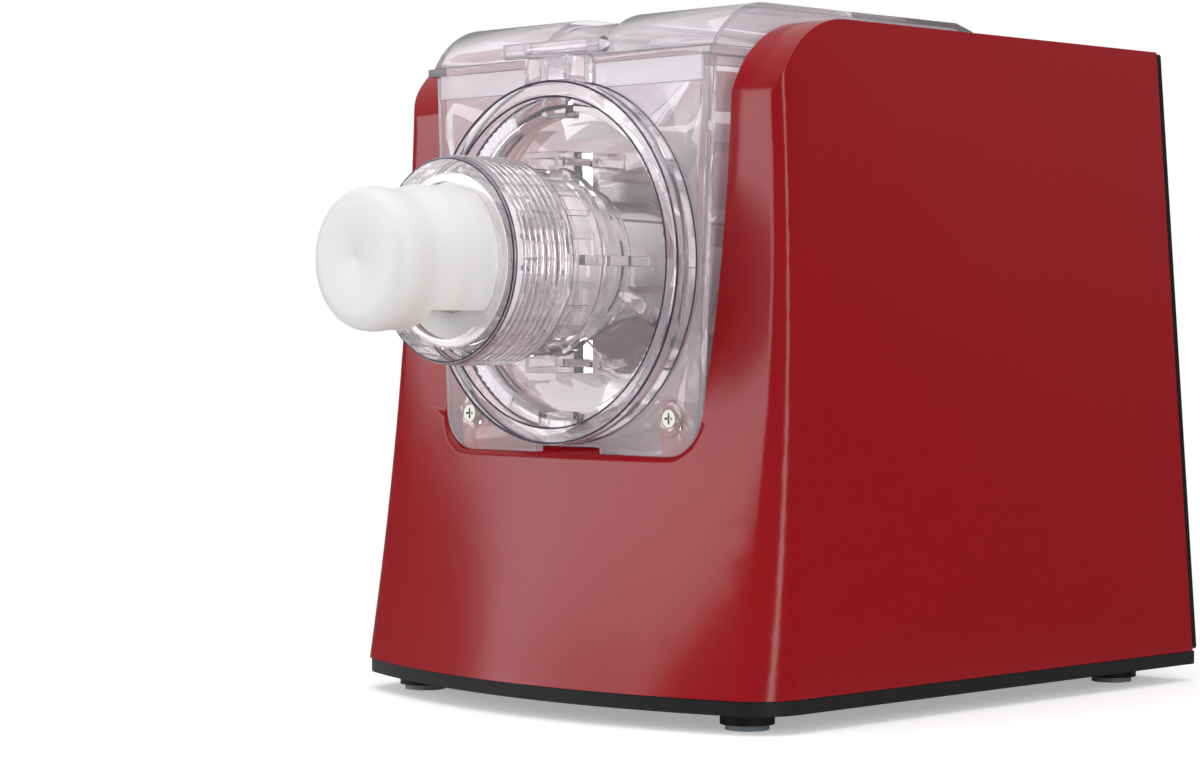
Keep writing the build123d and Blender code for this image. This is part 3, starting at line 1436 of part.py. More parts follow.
for end_name, start, end, seat in (
    ("motor_front_end", motor_front_y, motor_front_y + motor_end_wall, motor_front_y + motor_end_wall),
    ("motor_rear_end", motor_rear_y - motor_end_wall, motor_rear_y, motor_rear_y - motor_end_wall),
):
    direction = 1 if end == seat else -1
    pocket = sorted((seat, seat + direction * bearing_length))
    with BuildPart() as motor_end:
        ring(start, end, 0, motor_radius - motor_can_wall, motor_height)
        ring(pocket[0], pocket[1], 0, bearing_radius + bearing_seat_wall, motor_height)
        ring(pocket[0], pocket[1], 0, bearing_radius, motor_height, mode=Mode.SUBTRACT)
        ring(start, end, 0, motor_shaft_radius + shaft_room, motor_height, mode=Mode.SUBTRACT)
        with BuildSketch(front_plane(start)) as vents:
            with Locations((0, motor_height)):
                with PolarLocations(vent_circle, vent_holes):
                    Circle(vent_radius)
        extrude(vents.sketch, amount=-motor_end_wall, mode=Mode.SUBTRACT)
    keep(motor_end, end_name)

with BuildPart() as motor_bearings:
    for seat, direction in ((motor_front_y + motor_end_wall, 1), (motor_rear_y - motor_end_wall, -1)):
        span = sorted((seat, seat + direction * bearing_length))
        ring(span[0], span[1], motor_shaft_radius + running_gap, bearing_radius, motor_height)
keep(motor_bearings, "motor_bearings")

with BuildPart() as stator:
    ring(core_start, core_end, stator_inner, motor_radius - motor_can_wall, motor_height)
keep(stator, "stator")

with BuildPart() as stator_coils:
    for start, end in ((core_start - coil_wall, core_start), (core_end, core_end + coil_wall)):
        ring(start, end, stator_inner + coil_inset, motor_radius - motor_can_wall - coil_inset,
             motor_height)
keep(stator_coils, "stator_coils")

with BuildPart() as rotor:
    ring(core_start - rotor_edge, core_end + rotor_edge, motor_shaft_radius, rotor_radius, motor_height)
keep(rotor, "rotor")

with BuildPart() as motor_shaft:
    ring(motor_shaft_front, fast_range[1] + gear_room / 2, 0, motor_shaft_radius, motor_height)
keep(motor_shaft, "motor_shaft")

with BuildPart() as motor_fan:
    fan_rear = motor_front_y - fan_gap
    fan_hub = motor_shaft_radius + fan_hub_wall
    ring(fan_rear - fan_wall, fan_rear, motor_shaft_radius, fan_hub, motor_height)
    ring(fan_rear - fan_plate, fan_rear, motor_shaft_radius, fan_radius, motor_height)
    with BuildSketch(front_plane(fan_rear)) as blades:
        with Locations((0, motor_height)):
            with PolarLocations((fan_radius + fan_hub - fan_plate) / 2, fan_blades):
                Rectangle(fan_radius - fan_hub + fan_plate, fan_blade_wall)
    extrude(blades.sketch, amount=fan_wall)
keep(motor_fan, "motor_fan")

with BuildPart() as motor_mount:
    for start in mount_places:
        block((-mount_half, mount_half), (start, start + mount_length), (floor_top, floor_top + mount_wall))
        block((-cradle_half, cradle_half), (start, start + mount_length),
              (floor_top, motor_height - mount_grip))
    ring(mount_places[0], mount_places[1] + mount_length, 0, motor_radius + running_gap, motor_height,
         mode=Mode.SUBTRACT)
    block((-mount_tie_half, mount_tie_half), (mount_places[0], mount_places[1] + mount_length),
          (floor_top, floor_top + mount_wall))
    for start in mount_places:
        for side in (-1, 1):
            post(side * mount_bolt, start + mount_length / 2, (floor_top, floor_top + mount_wall),
                 screw_radius + hole_gap, mode=Mode.SUBTRACT)
keep(motor_mount, "motor_mount")

with BuildPart() as mount_screws:
    for start in mount_places:
        for side in (-1, 1):
            screw((side * mount_bolt, start + mount_length / 2, floor_top + mount_wall), (0, 0, -1),
                  mount_wall)
keep(mount_screws, "mount_screws")

# =====================================================================================
# Controls
# =====================================================================================

panel_high = shell_top + panel_flange
panel_half_x = panel_width / 2 - panel_edge - gap
panel_half_y = panel_length / 2 - panel_edge - gap
body_low = panel_high - panel_wall - panel_skirt
board_top = shell_top - panel_board_drop
panel_screw_x = panel_half_x - board_screw_inset
panel_screw_y = panel_half_y - board_screw_inset
panel_screw_places = [(dx * panel_screw_x, panel_y + dy * panel_screw_y) for dx in (-1, 1) for dy in (-1, 1)]
cap_top = panel_high + button_height
cap_low = panel_high - panel_wall - gap - cap_flange_wall

with BuildPart() as control_panel:
    block((-panel_width / 2, panel_width / 2), (panel_y - panel_length / 2, panel_y + panel_length / 2),
          (shell_top, panel_high))
    block((-panel_half_x, panel_half_x), (panel_y - panel_half_y, panel_y + panel_half_y),
          (body_low, panel_high))
    room_x = panel_half_x - panel_skirt_wall
    room_y = panel_half_y - panel_skirt_wall
    block((-room_x, room_x), (panel_y - room_y, panel_y + room_y), (body_low, panel_high - panel_wall),
          mode=Mode.SUBTRACT)
    for x, y in panel_screw_places:
        post(x, y, (board_top, panel_high), screw_radius + panel_skirt_wall)
        post(x, y, (board_top, board_top + board_screw_length), screw_radius + hole_gap, mode=Mode.SUBTRACT)
    for x in button_places:
        post(x, panel_y, (body_low, panel_high), button_radius + gap, mode=Mode.SUBTRACT)
    block((-window_width / 2 - gap / 2, window_width / 2 + gap / 2),
          (panel_y - window_length / 2 - gap / 2, panel_y + window_length / 2 + gap / 2),
          (panel_high - window_wall, panel_high), mode=Mode.SUBTRACT)
    sight_x = window_width / 2 - window_ledge
    sight_y = window_length / 2 - window_ledge
    block((-sight_x, sight_x), (panel_y - sight_y, panel_y + sight_y), (body_low, panel_high),
          mode=Mode.SUBTRACT)
keep(control_panel, "control_panel")

with BuildPart() as display_window:
    block((-window_width / 2, window_width / 2), (panel_y - window_length / 2, panel_y + window_length / 2),
          (panel_high - window_wall, panel_high))
keep(display_window, "display_window")

for name, x in zip(button_names, button_places):
    with BuildPart() as button:
        post(x, panel_y, (cap_low, cap_top), button_radius)
        post(x, panel_y, (cap_low, cap_low + cap_flange_wall), button_radius + cap_flange)
    keep(button, name)

with BuildPart() as panel_board:
    block((-panel_half_x, panel_half_x), (panel_y - panel_half_y, panel_y + panel_half_y),
          (board_top - board_wall, board_top))
    for x, y in panel_screw_places:
        post(x, y, (board_top - board_wall, board_top), screw_radius + hole_gap, mode=Mode.SUBTRACT)
keep(panel_board, "panel_board")

with BuildPart() as panel_board_screws:
    for x, y in panel_screw_places:
        screw((x, y, board_top - board_wall), (0, 0, 1), board_screw_length)
keep(panel_board_screws, "panel_board_screws")

with BuildPart() as key_switches:
    for x in button_places:
        block(
            (x - key_switch_size / 2, x + key_switch_size / 2),
            (panel_y - key_switch_size / 2, panel_y + key_switch_size / 2),
            (board_top, cap_low - button_travel - gap),
        )
keep(key_switches, "key_switches")

with BuildPart() as display_module:
    half_x = window_width / 2 - module_inset
    half_y = window_length / 2 - module_inset
    block((-half_x, half_x), (panel_y - half_y, panel_y + half_y),
          (board_top, panel_high - window_wall - gap))
keep(display_module, "display_module")

# =====================================================================================
# Power board and leads
# =====================================================================================

with BuildPart() as power_board:
    block((board_x - power_board_width / 2, board_x + power_board_width / 2),
          (board_y - power_board_length / 2, board_y + power_board_length / 2),
          (board_z, board_z + board_wall))
    for x, y in board_posts:
        post(x, y, (board_z, board_z + board_wall), screw_radius + hole_gap, mode=Mode.SUBTRACT)
keep(power_board, "power_board")

board_face = board_z + board_wall
board_front = board_y - power_board_length / 2
board_rear = board_y + power_board_length / 2
transformer_y = board_front + component_edge + transformer_size[1] / 2
terminal_y = board_rear - component_edge - terminal_size[1] / 2
relay_place = (board_x + capacitor_radius + lead_spread, board_y + capacitor_radius)
terminal_top = board_face + terminal_height
relay_top = board_face + relay_height


def component(place, size, height):
    """A block that stands on the power board."""
    (x, y), (width, length) = place, size
    block((x - width / 2, x + width / 2), (y - length / 2, y + length / 2), (board_face, board_face + height))


with BuildPart() as board_components:
    component((board_x, transformer_y), transformer_size, transformer_height)
    component(relay_place, relay_size, relay_height)
    component((board_x, terminal_y), terminal_size, terminal_height)
    post(board_x - capacitor_radius - lead_spread, relay_place[1],
         (board_face, board_face + capacitor_height), capacitor_radius)
keep(board_components, "board_components")


def lead(points):
    """A wire through points, with rounded bends."""
    with BuildPart() as wire:
        with BuildLine() as path:
            FilletPolyline(*points, radius=lead_bend)
        with BuildSketch(Plane(origin=path.line @ 0, z_dir=path.line % 0)) as section:
            Circle(lead_radius)
        sweep(section.sketch, path=path.line)
    return wire.part


# Mains leads: from the inlet's blades, along the base, to the terminal block
inlet_tabs = [
    tuple(inlet_plane.from_local_coords((*place, -inlet_depth - pin_tab + solder_depth)))
    for place in pin_places
]
with BuildPart() as mains_leads:
    for k, (x, y, z) in enumerate(inlet_tabs):
        lane_y = y - 3 * lead_bend - lead_pitch * k
        end_x = board_x + lead_pitch * (k - 1)
        low_z = floor_top + lead_bend + lead_spread * k
        turn_y = board_rear + lead_bend + lead_spread * k
        high_z = terminal_top + lead_rise
        add(lead([(x, y, z), (x, lane_y, z), (x, lane_y, low_z), (end_x, lane_y, low_z),
                  (end_x, turn_y, low_z), (end_x, turn_y, high_z), (end_x, terminal_y, high_z),
                  (end_x, terminal_y, terminal_top)]))
keep(mains_leads, "mains_leads")

# Motor leads: from the board's relay to the stator's coils, through a vent in the motor's rear end
with BuildPart() as motor_leads:
    for side in (-1, 1):
        x, y = relay_place[0] + side * lead_spread, relay_place[1]
        high_z = relay_top + 2.5 * lead_bend + side * lead_spread
        end_z = motor_height + side * lead_spread
        out_x = motor_radius + lead_room
        out_y = motor_rear_y + lead_room
        add(lead([(x, y, relay_top), (x, y, high_z), (out_x, y, high_z), (out_x, out_y, high_z),
                  (vent_circle, out_y, end_z), (vent_circle, core_end + coil_wall, end_z)]))
keep(motor_leads, "motor_leads")
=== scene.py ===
"""Electric pasta maker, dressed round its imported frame. Metres, +Z up, front towards -Y."""

from math import atan2, cos, pi, radians, sin

import bmesh
import bpy
from mathutils import Matrix, Vector


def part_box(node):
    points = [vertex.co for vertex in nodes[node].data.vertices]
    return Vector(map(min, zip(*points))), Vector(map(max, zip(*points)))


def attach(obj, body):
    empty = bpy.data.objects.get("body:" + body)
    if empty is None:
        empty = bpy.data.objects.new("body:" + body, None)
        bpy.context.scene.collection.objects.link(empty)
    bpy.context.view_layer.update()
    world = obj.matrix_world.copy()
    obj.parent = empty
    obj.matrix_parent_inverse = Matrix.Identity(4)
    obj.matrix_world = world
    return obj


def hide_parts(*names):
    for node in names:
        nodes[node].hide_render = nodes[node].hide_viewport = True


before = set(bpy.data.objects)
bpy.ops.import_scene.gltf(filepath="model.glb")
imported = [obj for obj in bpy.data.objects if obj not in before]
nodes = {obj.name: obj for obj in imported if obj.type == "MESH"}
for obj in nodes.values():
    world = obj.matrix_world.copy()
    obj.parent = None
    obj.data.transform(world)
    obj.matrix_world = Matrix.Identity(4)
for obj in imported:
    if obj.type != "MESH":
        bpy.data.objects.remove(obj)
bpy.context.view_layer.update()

scene = bpy.context.scene
scene.view_settings.view_transform = "Standard"

# =====================================================================================
# Camera: at table height off the machine's right front corner, tipped down by a degree.
# Its long lens keeps the shell's upright edges close to upright.
# =====================================================================================

camera_tip = 1.07  # degrees below level
camera_turn = 45.7  # degrees round from straight ahead

camera_data = bpy.data.cameras.new("camera")
camera_data.lens = 92.16
camera_data.sensor_width = 36.0
camera_data.clip_end = 20
camera = bpy.data.objects.new("camera", camera_data)
camera.location = (0.9729, -1.0146, 0.1663)
camera.rotation_euler = (radians(90 - camera_tip), 0, radians(camera_turn))
scene.collection.objects.link(camera)
scene.camera = camera

# =====================================================================================
# Floor and light: a sweep of white paper that fades into the white behind the machine.
# Three soft boxes light it: one ahead to the left, one overhead, and a tall strip on the
# right that draws a highlight down the shell's front corner.
# =====================================================================================


def linear(code):
    """An sRGB hex code as linear red, green, blue and alpha."""
    channels = [int(code[k:k + 2], 16) / 255 for k in (1, 3, 5)]
    return tuple(c / 12.92 if c <= 0.04045 else ((c + 0.055) / 1.055) ** 2.4 for c in channels) + (1,)


def add_node(tree, kind, inputs=None, **settings):
    """Add a node: settings are its own properties, and inputs are values or sockets to link."""
    node = tree.nodes.new(kind)
    for name, value in settings.items():
        setattr(node, name, value)
    for name, value in (inputs or {}).items():
        if isinstance(value, bpy.types.NodeSocket):
            tree.links.new(value, node.inputs[name])
        else:
            node.inputs[name].default_value = value
    return node


def new_finish(name, colour, **sockets):
    """A Principled material of one colour; a socket's name has _ for each space."""
    finish = bpy.data.materials.new(name)
    finish.use_nodes = True
    shader = finish.node_tree.nodes["Principled BSDF"]
    shader.inputs["Base Color"].default_value = linear(colour)
    for socket, value in sockets.items():
        shader.inputs[socket.replace("_", " ")].default_value = value
    return finish


def new_object(name, mesh):
    """Link a mesh to the scene as an object at the origin."""
    made = bpy.data.objects.new(name, mesh)
    scene.collection.objects.link(made)
    return made


floor_half = 6.0
fade_start = 0.22  # the paper fades out between these distances from the machine's middle
fade_end = 0.55
camera_glow = 0.35  # the paper's own light, which only the camera sees

# White paper: matt, without a gloss of its own
paper = new_finish("white_paper_sweep", "#f2f2f2", Roughness=0.9, Specular_IOR_Level=0.1,
                   Emission_Color=linear("#ffffff"))
tree = paper.node_tree
paper_shader = tree.nodes["Principled BSDF"]
place = add_node(tree, "ShaderNodeTexCoord")
reach = add_node(tree, "ShaderNodeVectorMath", {0: place.outputs["Object"]}, operation="LENGTH")
fade = add_node(tree, "ShaderNodeMapRange",
                {"Value": reach.outputs["Value"], "From Min": fade_start, "From Max": fade_end},
                interpolation_type="SMOOTHSTEP")
rays = add_node(tree, "ShaderNodeLightPath")
glow = add_node(tree, "ShaderNodeMath", {0: rays.outputs["Is Camera Ray"], 1: camera_glow},
                operation="MULTIPLY")
tree.links.new(glow.outputs[0], paper_shader.inputs["Emission Strength"])
clear_air = add_node(tree, "ShaderNodeBsdfTransparent")
sheet = add_node(tree, "ShaderNodeMixShader",
                 {"Fac": fade.outputs[0], 1: paper_shader.outputs[0], 2: clear_air.outputs[0]})
tree.links.new(sheet.outputs[0], tree.nodes["Material Output"].inputs["Surface"])

floor_mesh = bpy.data.meshes.new("floor")
floor_mesh.from_pydata([(x * floor_half, y * floor_half, 0) for x, y in ((-1, -1), (1, -1), (1, 1), (-1, 1))],
                       [], [(0, 1, 2, 3)])
floor_mesh.materials.append(paper)
new_object("floor", floor_mesh)

# Reflections find a white ceiling, and walls that darken downwards. Clear plastic shows white
# straight through it, and dark flags above and below where it bends the view.
plain_light = 0.58
world = bpy.data.worlds.new("studio")
world.use_nodes = True
scene.world = world
tree = world.node_tree
tree.nodes.clear()
rays = add_node(tree, "ShaderNodeLightPath")
place = add_node(tree, "ShaderNodeTexCoord")
split = add_node(tree, "ShaderNodeSeparateXYZ", {0: place.outputs["Generated"]})
ceiling = add_node(tree, "ShaderNodeMapRange",
                   {"Value": split.outputs["Z"], "From Min": 0.05, "From Max": 0.7,
                    "To Min": 0.16, "To Max": 1.0})
steep = add_node(tree, "ShaderNodeMath", {0: split.outputs["Z"]}, operation="ABSOLUTE")
flags = add_node(tree, "ShaderNodeMapRange",
                 {"Value": steep.outputs[0], "From Min": 0.15, "From Max": 0.55,
                  "To Min": 1.0, "To Max": 0.2})
mixed = add_node(tree, "ShaderNodeBackground", {"Color": linear("#ffffff"), "Strength": plain_light})
for kind, strength in (("Is Glossy Ray", ceiling.outputs[0]), ("Is Transmission Ray", flags.outputs[0]),
                       ("Is Camera Ray", 1.0)):
    shown = add_node(tree, "ShaderNodeBackground", {"Color": linear("#ffffff"), "Strength": strength})
    mixed = add_node(tree, "ShaderNodeMixShader",
                     {"Fac": rays.outputs[kind], 1: mixed.outputs[0], 2: shown.outputs[0]})
add_node(tree, "ShaderNodeOutputWorld", {"Surface": mixed.outputs[0]})


def soft_box(name, place, target, size, power):
    """A rectangular studio light aimed at a point."""
    data = bpy.data.lights.new(name, "AREA")
    data.shape = "RECTANGLE"
    data.size, data.size_y = size
    data.energy = power
    light = bpy.data.objects.new(name, data)
    light.location = place
    light.rotation_euler = (Vector(target) - Vector(place)).to_track_quat("-Z", "Y").to_euler()
    scene.collection.objects.link(light)


soft_box("front_left_box", place=(-1.37, -1.81, 0.55), target=(0, -0.05, 0.17), size=(1.5, 0.9), power=20)
soft_box("top_box", place=(0.1, -0.2, 1.7), target=(0, 0, 0.1), size=(1.6, 1.6), power=13)
soft_box("corner_strip", place=(1.95, -0.72, 0.4), target=(0.1, -0.05, 0.15), size=(0.42, 1.7), power=17)

# =====================================================================================
# Base and feet: one moulded tray of black ABS closes the housing from below, held by
# plated steel screws. Four moulded cups under it each hold a soft rubber pad.
# =====================================================================================

# The Mix node's colour sockets go by number, because its other kinds share their names
colour_a = 6
colour_b = 7
colour_out = 2


def add_grain(finish, grain, height, roughness, stretch=(1, 1, 1)):
    """Surface grain: grain and height in metres, and the roughness between two values."""
    tree = finish.node_tree
    shader = tree.nodes["Principled BSDF"]
    place = add_node(tree, "ShaderNodeTexCoord")
    turned = add_node(tree, "ShaderNodeMapping", {"Vector": place.outputs["Object"], "Scale": stretch})
    noise = add_node(tree, "ShaderNodeTexNoise",
                     {"Vector": turned.outputs[0], "Scale": 1 / grain, "Detail": 3.0, "Roughness": 0.55})
    spread = add_node(tree, "ShaderNodeMapRange",
                      {"Value": noise.outputs["Fac"], "From Min": 0.3, "From Max": 0.7,
                       "To Min": roughness[0], "To Max": roughness[1]})
    tree.links.new(spread.outputs[0], shader.inputs["Roughness"])
    relief = add_node(tree, "ShaderNodeBump", {"Height": noise.outputs["Fac"], "Distance": height})
    tree.links.new(relief.outputs[0], shader.inputs["Normal"])


def add_shades(finish, patch, low, high):
    """Let the colour drift between two hex codes in patches of a size in metres."""
    tree = finish.node_tree
    place = add_node(tree, "ShaderNodeTexCoord")
    noise = add_node(tree, "ShaderNodeTexNoise", {"Vector": place.outputs["Object"], "Scale": 1 / patch})
    blend = add_node(tree, "ShaderNodeMix",
                     {"Factor": noise.outputs["Fac"], colour_a: linear(low), colour_b: linear(high)},
                     data_type="RGBA")
    tree.links.new(blend.outputs[colour_out], tree.nodes["Principled BSDF"].inputs["Base Color"])


def dress_nodes(finish, *names):
    """Give CAD nodes their material, on every slot."""
    for name in names:
        mesh = nodes[name].data
        if not mesh.materials:
            mesh.materials.append(finish)
        for k in range(len(mesh.materials)):
            mesh.materials[k] = finish


# Grained black ABS: spark-eroded mould texture, drawn at 0.6 mm so that it shows
black_abs = new_finish("grained_black_abs", "#0e0f12", Specular_IOR_Level=0.22)
add_grain(black_abs, grain=0.0006, height=0.00012, roughness=(0.42, 0.58))
add_shades(black_abs, patch=0.05, low="#0c0d10", high="#131418")

# Clear thermoplastic rubber: a cloudy grey-blue that passes some light
pad_rubber = new_finish("cloudy_rubber", "#93a3ad", Transmission_Weight=0.35, IOR=1.45)
add_grain(pad_rubber, grain=0.0012, height=0.00008, roughness=(0.3, 0.45))

# Zinc-plated steel: fine crystalline skin and a faint warm passivation
zinc_steel = new_finish("zinc_plated_steel", "#b9bab8", Metallic=1.0)
add_grain(zinc_steel, grain=0.0005, height=0.00002, roughness=(0.24, 0.42))
add_shades(zinc_steel, patch=0.004, low="#aeb0ae", high="#c6c5bd")

dress_nodes(black_abs, "base_plate", "foot_cups")
dress_nodes(pad_rubber, "foot_pads")
dress_nodes(zinc_steel, "base_screws")

# =====================================================================================
# Housing shell: one injection moulding in ABS, sprayed with a deep red gloss. A notch in
# its front and the well behind it take the chamber, and it is screwed to the base tray.
# =====================================================================================


def copied_mesh(name):
    """A CAD node's mesh as a bmesh: its points welded, and the triangles of each flat face joined."""
    weld = 0.000004
    flat = radians(0.6)
    made = bmesh.new()
    made.from_mesh(nodes[name].data)
    made.transform(nodes[name].matrix_world)
    bmesh.ops.remove_doubles(made, verts=made.verts, dist=weld)
    bmesh.ops.dissolve_limit(made, angle_limit=flat, verts=made.verts, edges=made.edges)
    return made


def round_edges(made, chosen, width, segments, slot=0):
    """Round the edges that a test picks; slot is the number of the new faces' finish."""
    edges = [edge for edge in made.edges if len(edge.link_faces) == 2 and chosen(edge)]
    rounded = bmesh.ops.bevel(made, geom=edges, offset=width, segments=segments, profile=0.5,
                              affect="EDGES", clamp_overlap=True)
    for face in rounded["faces"]:
        face.material_index = slot


def shade_smooth(mesh):
    """Smooth shading, apart from edges that turn by more than 32 degrees."""
    mesh.polygons.foreach_set("use_smooth", [True] * len(mesh.polygons))
    mesh.set_sharp_from_angle(angle=radians(32))


def to_piece(made, name, *finishes):
    """Turn a bmesh into a smoothly shaded object with its finishes."""
    mesh = bpy.data.meshes.new(name)
    made.normal_update()
    made.to_mesh(mesh)
    made.free()
    for finish in finishes:
        mesh.materials.append(finish)
    shade_smooth(mesh)
    return new_object(name, mesh)


def put_on(piece, body, slot, *replaced):
    """Attach a finished piece to the body it rides on, and hide the nodes it stands for; slot is not used."""
    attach(piece, body)
    if replaced:
        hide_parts(*replaced)


# Sprayed gloss over ABS: deep red, a faint orange peel of 4 mm and a fine pearl in the coat
red_gloss = new_finish("sprayed_red_gloss", "#880b15", Specular_IOR_Level=0.22)
add_grain(red_gloss, grain=0.004, height=0.00002, roughness=(0.17, 0.22))
add_shades(red_gloss, patch=0.0007, low="#820811", high="#8f0b16")

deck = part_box("housing_shell")[1][2]
rim_depth = 0.05  # how far under the deck the rounded edges reach
flank = 0.1  # the shell's outer sides lie past this, on either side of the middle
plate_front = -0.085  # the chamber's front plate stands here, in the notch


def any_sharp(edge):
    """Any edge where two faces meet at more than 40 degrees."""
    return edge.calc_face_angle(0) > radians(40)


def shell_rim(edge):
    """The long edges of the shell's flat top and of its sides, but not those of the well."""
    a, b = (vert.co for vert in edge.verts)
    outer = min(abs(a.x), abs(b.x)) > flank
    return any_sharp(edge) and outer and min(a.z, b.z) > deck - rim_depth and a.y > plate_front


made = copied_mesh("housing_shell")
round_edges(made, shell_rim, width=0.0022, segments=4)
shell = to_piece(made, "shell_body", red_gloss)
put_on(shell, "housing", "red_gloss", "housing_shell")

# =====================================================================================
# Rear cover and mains inlet: a flat panel of black ABS with louvres for the motor's air,
# fixed from behind with six plated steel screws. Two more hold the inlet's moulded case
# in it, and three metal blades stand in the case.
# =====================================================================================

dress_nodes(black_abs, "rear_cover", "power_inlet")


def new_tree(name, inputs):
    """A Geometry Nodes tree with named inputs and one geometry output, and its input node."""
    tree = bpy.data.node_groups.new(name, "GeometryNodeTree")
    for label, kind in {"Geometry": "Geometry", **inputs}.items():
        tree.interface.new_socket(label, in_out="INPUT", socket_type="NodeSocket" + kind)
    tree.interface.new_socket("Geometry", in_out="OUTPUT", socket_type="NodeSocketGeometry")
    return tree, tree.nodes.new("NodeGroupInput")


def end_tree(tree, copies, given):
    """Turn the copies into real faces with the given finish, and make them what the tree puts out."""
    solid = add_node(tree, "GeometryNodeRealizeInstances", {"Geometry": copies})
    dressed = add_node(tree, "GeometryNodeSetMaterial",
                       {"Geometry": solid.outputs[0], "Material": given.outputs["Finish"]})
    add_node(tree, "NodeGroupOutput", {"Geometry": dressed.outputs[0]})


def grow(tree, name, values, start=None):
    """Run a tree once and keep what it makes as a plain mesh object at the origin."""
    made = new_object(name, start or bpy.data.meshes.new(name + "_start"))
    modifier = made.modifiers.new(name, "NODES")
    modifier.node_group = tree
    for item in tree.interface.items_tree:
        if item.in_out == "INPUT" and item.name in values:
            modifier[item.identifier] = values[item.name]
    grown = made.evaluated_get(bpy.context.evaluated_depsgraph_get())
    mesh = bpy.data.meshes.new_from_object(grown)
    made.modifiers.clear()
    made.data = mesh
    shade_smooth(mesh)
    return made


# A pan head with a cross recess on a plain shank; these sizes are shares of the head's radius
head_height = 0.63
recess_depth = 0.36
recess_long = 1.25
recess_wide = 0.26
shank_radius = 0.42

screw_tree, given = new_tree("cross_recess_screws", {"Head Radius": "Float", "Shank Length": "Float",
                                                     "Facing": "Vector", "Finish": "Material"})
pan = add_node(screw_tree, "GeometryNodeMeshCylinder", {"Vertices": 28, "Radius": 1.0, "Depth": head_height})
pan = add_node(screw_tree, "GeometryNodeTransform",
               {"Geometry": pan.outputs["Mesh"], "Translation": (0, 0, -head_height / 2)})
cut = add_node(screw_tree, "GeometryNodeMeshBoolean", {"Mesh 1": pan.outputs[0]}, operation="DIFFERENCE")
for arm in ((recess_long, recess_wide), (recess_wide, recess_long)):
    recess = add_node(screw_tree, "GeometryNodeMeshCube", {"Size": (*arm, 2 * recess_depth)})
    screw_tree.links.new(recess.outputs["Mesh"], cut.inputs["Mesh 2"])
shank = add_node(screw_tree, "GeometryNodeMeshCylinder",
                 {"Vertices": 14, "Radius": shank_radius, "Depth": given.outputs["Shank Length"]})
half = add_node(screw_tree, "ShaderNodeMath", {0: given.outputs["Shank Length"], 1: -0.5},
                operation="MULTIPLY")
lower = add_node(screw_tree, "ShaderNodeMath", {0: half.outputs[0], 1: -head_height}, operation="ADD")
drop = add_node(screw_tree, "ShaderNodeCombineXYZ", {"Z": lower.outputs[0]})
shank = add_node(screw_tree, "GeometryNodeTransform",
                 {"Geometry": shank.outputs["Mesh"], "Translation": drop.outputs[0]})
screw = add_node(screw_tree, "GeometryNodeJoinGeometry", {"Geometry": cut.outputs["Mesh"]})
screw_tree.links.new(shank.outputs[0], screw.inputs["Geometry"])
facing = add_node(screw_tree, "FunctionNodeAlignRotationToVector", {"Vector": given.outputs["Facing"]},
                  axis="Z")
copies = add_node(screw_tree, "GeometryNodeInstanceOnPoints",
                  {"Points": given.outputs["Geometry"], "Instance": screw.outputs[0],
                   "Rotation": facing.outputs[0], "Scale": given.outputs["Head Radius"]})
end_tree(screw_tree, copies.outputs[0], given)


def screw_seats(name, facing):
    """The middle of each screw head's face in a CAD node, and the screws' length and head radius."""
    made = copied_mesh(name)
    seats = []
    seen = set()
    for first in made.verts:
        if first in seen:
            continue
        island, border = set(), {first}  # each screw is one island of the mesh
        while border:
            island |= border
            border = {edge.other_vert(vert) for vert in border for edge in vert.link_edges} - island
        seen |= island
        low = Vector([min(vert.co[k] for vert in island) for k in range(3)])
        high = Vector([max(vert.co[k] for vert in island) for k in range(3)])
        seats.append(((low.x + high.x) / 2, high.y if facing > 0 else low.y, (low.z + high.z) / 2))
    made.free()
    return sorted(seats), high.y - low.y, (high.x - low.x) / 2


def add_screws(name, facing):
    """Stand cross-recessed screws where a CAD node has its own; facing is their side along Y."""
    seats, length, radius = screw_seats(name, facing)
    points = bpy.data.meshes.new(name + "_seats")
    points.from_pydata(seats, [], [])
    values = {"Head Radius": radius, "Shank Length": length / radius - head_height,
              "Facing": (0, facing, 0), "Finish": zinc_steel}
    screws = grow(screw_tree, "cross_recess_" + name, values, points)
    put_on(screws, "housing", "screw_steel", name)


add_screws("rear_cover_screws", 1)
add_screws("inlet_screws", 1)

# Nickel-plated brass blades: pale, smooth metal with drawn lines along the blade
blade_metal = new_finish("nickel_plated_brass", "#c9c6bd", Metallic=1.0)
add_grain(blade_metal, grain=0.0008, height=0.00001, roughness=(0.18, 0.3), stretch=(1, 0.1, 1))
dress_nodes(blade_metal, "inlet_pins")

# =====================================================================================
# Mixing chamber: a clear tub, injection moulded with its front plate in smoke-tinted SAN.
# Two screws through the plate's lower corners hold it in the shell's well, and a silicone
# seal closes it round the output shaft.
# =====================================================================================


def add_painted_edge_shade(finish, edge):
    """Paint shade into a clear moulding's colour: it darkens towards a given dark colour where its surface
    turns away from view, as its edges look dark.
    """
    tree = finish.node_tree
    colour = tree.nodes["Principled BSDF"].inputs["Base Color"]
    face = tuple(colour.default_value)
    turned = add_node(tree, "ShaderNodeLayerWeight", {"Blend": 0.5})
    rim = add_node(tree, "ShaderNodeMapRange",
                   {"Value": turned.outputs["Facing"], "From Min": 0.62, "From Max": 0.97},
                   interpolation_type="SMOOTHSTEP")
    # The painted shade: the colour runs to the dark edge colour as the surface turns away
    blend = add_node(tree, "ShaderNodeMix",
                     {"Factor": rim.outputs[0], colour_a: face, colour_b: linear(edge)}, data_type="RGBA")
    tree.links.new(blend.outputs[colour_out], colour)


def put_on_clear(piece, body, slot, *replaced):
    """Put a clear piece on its body; it casts no shadow, because it lets the light through."""
    piece.visible_shadow = False
    put_on(piece, body, slot, *replaced)
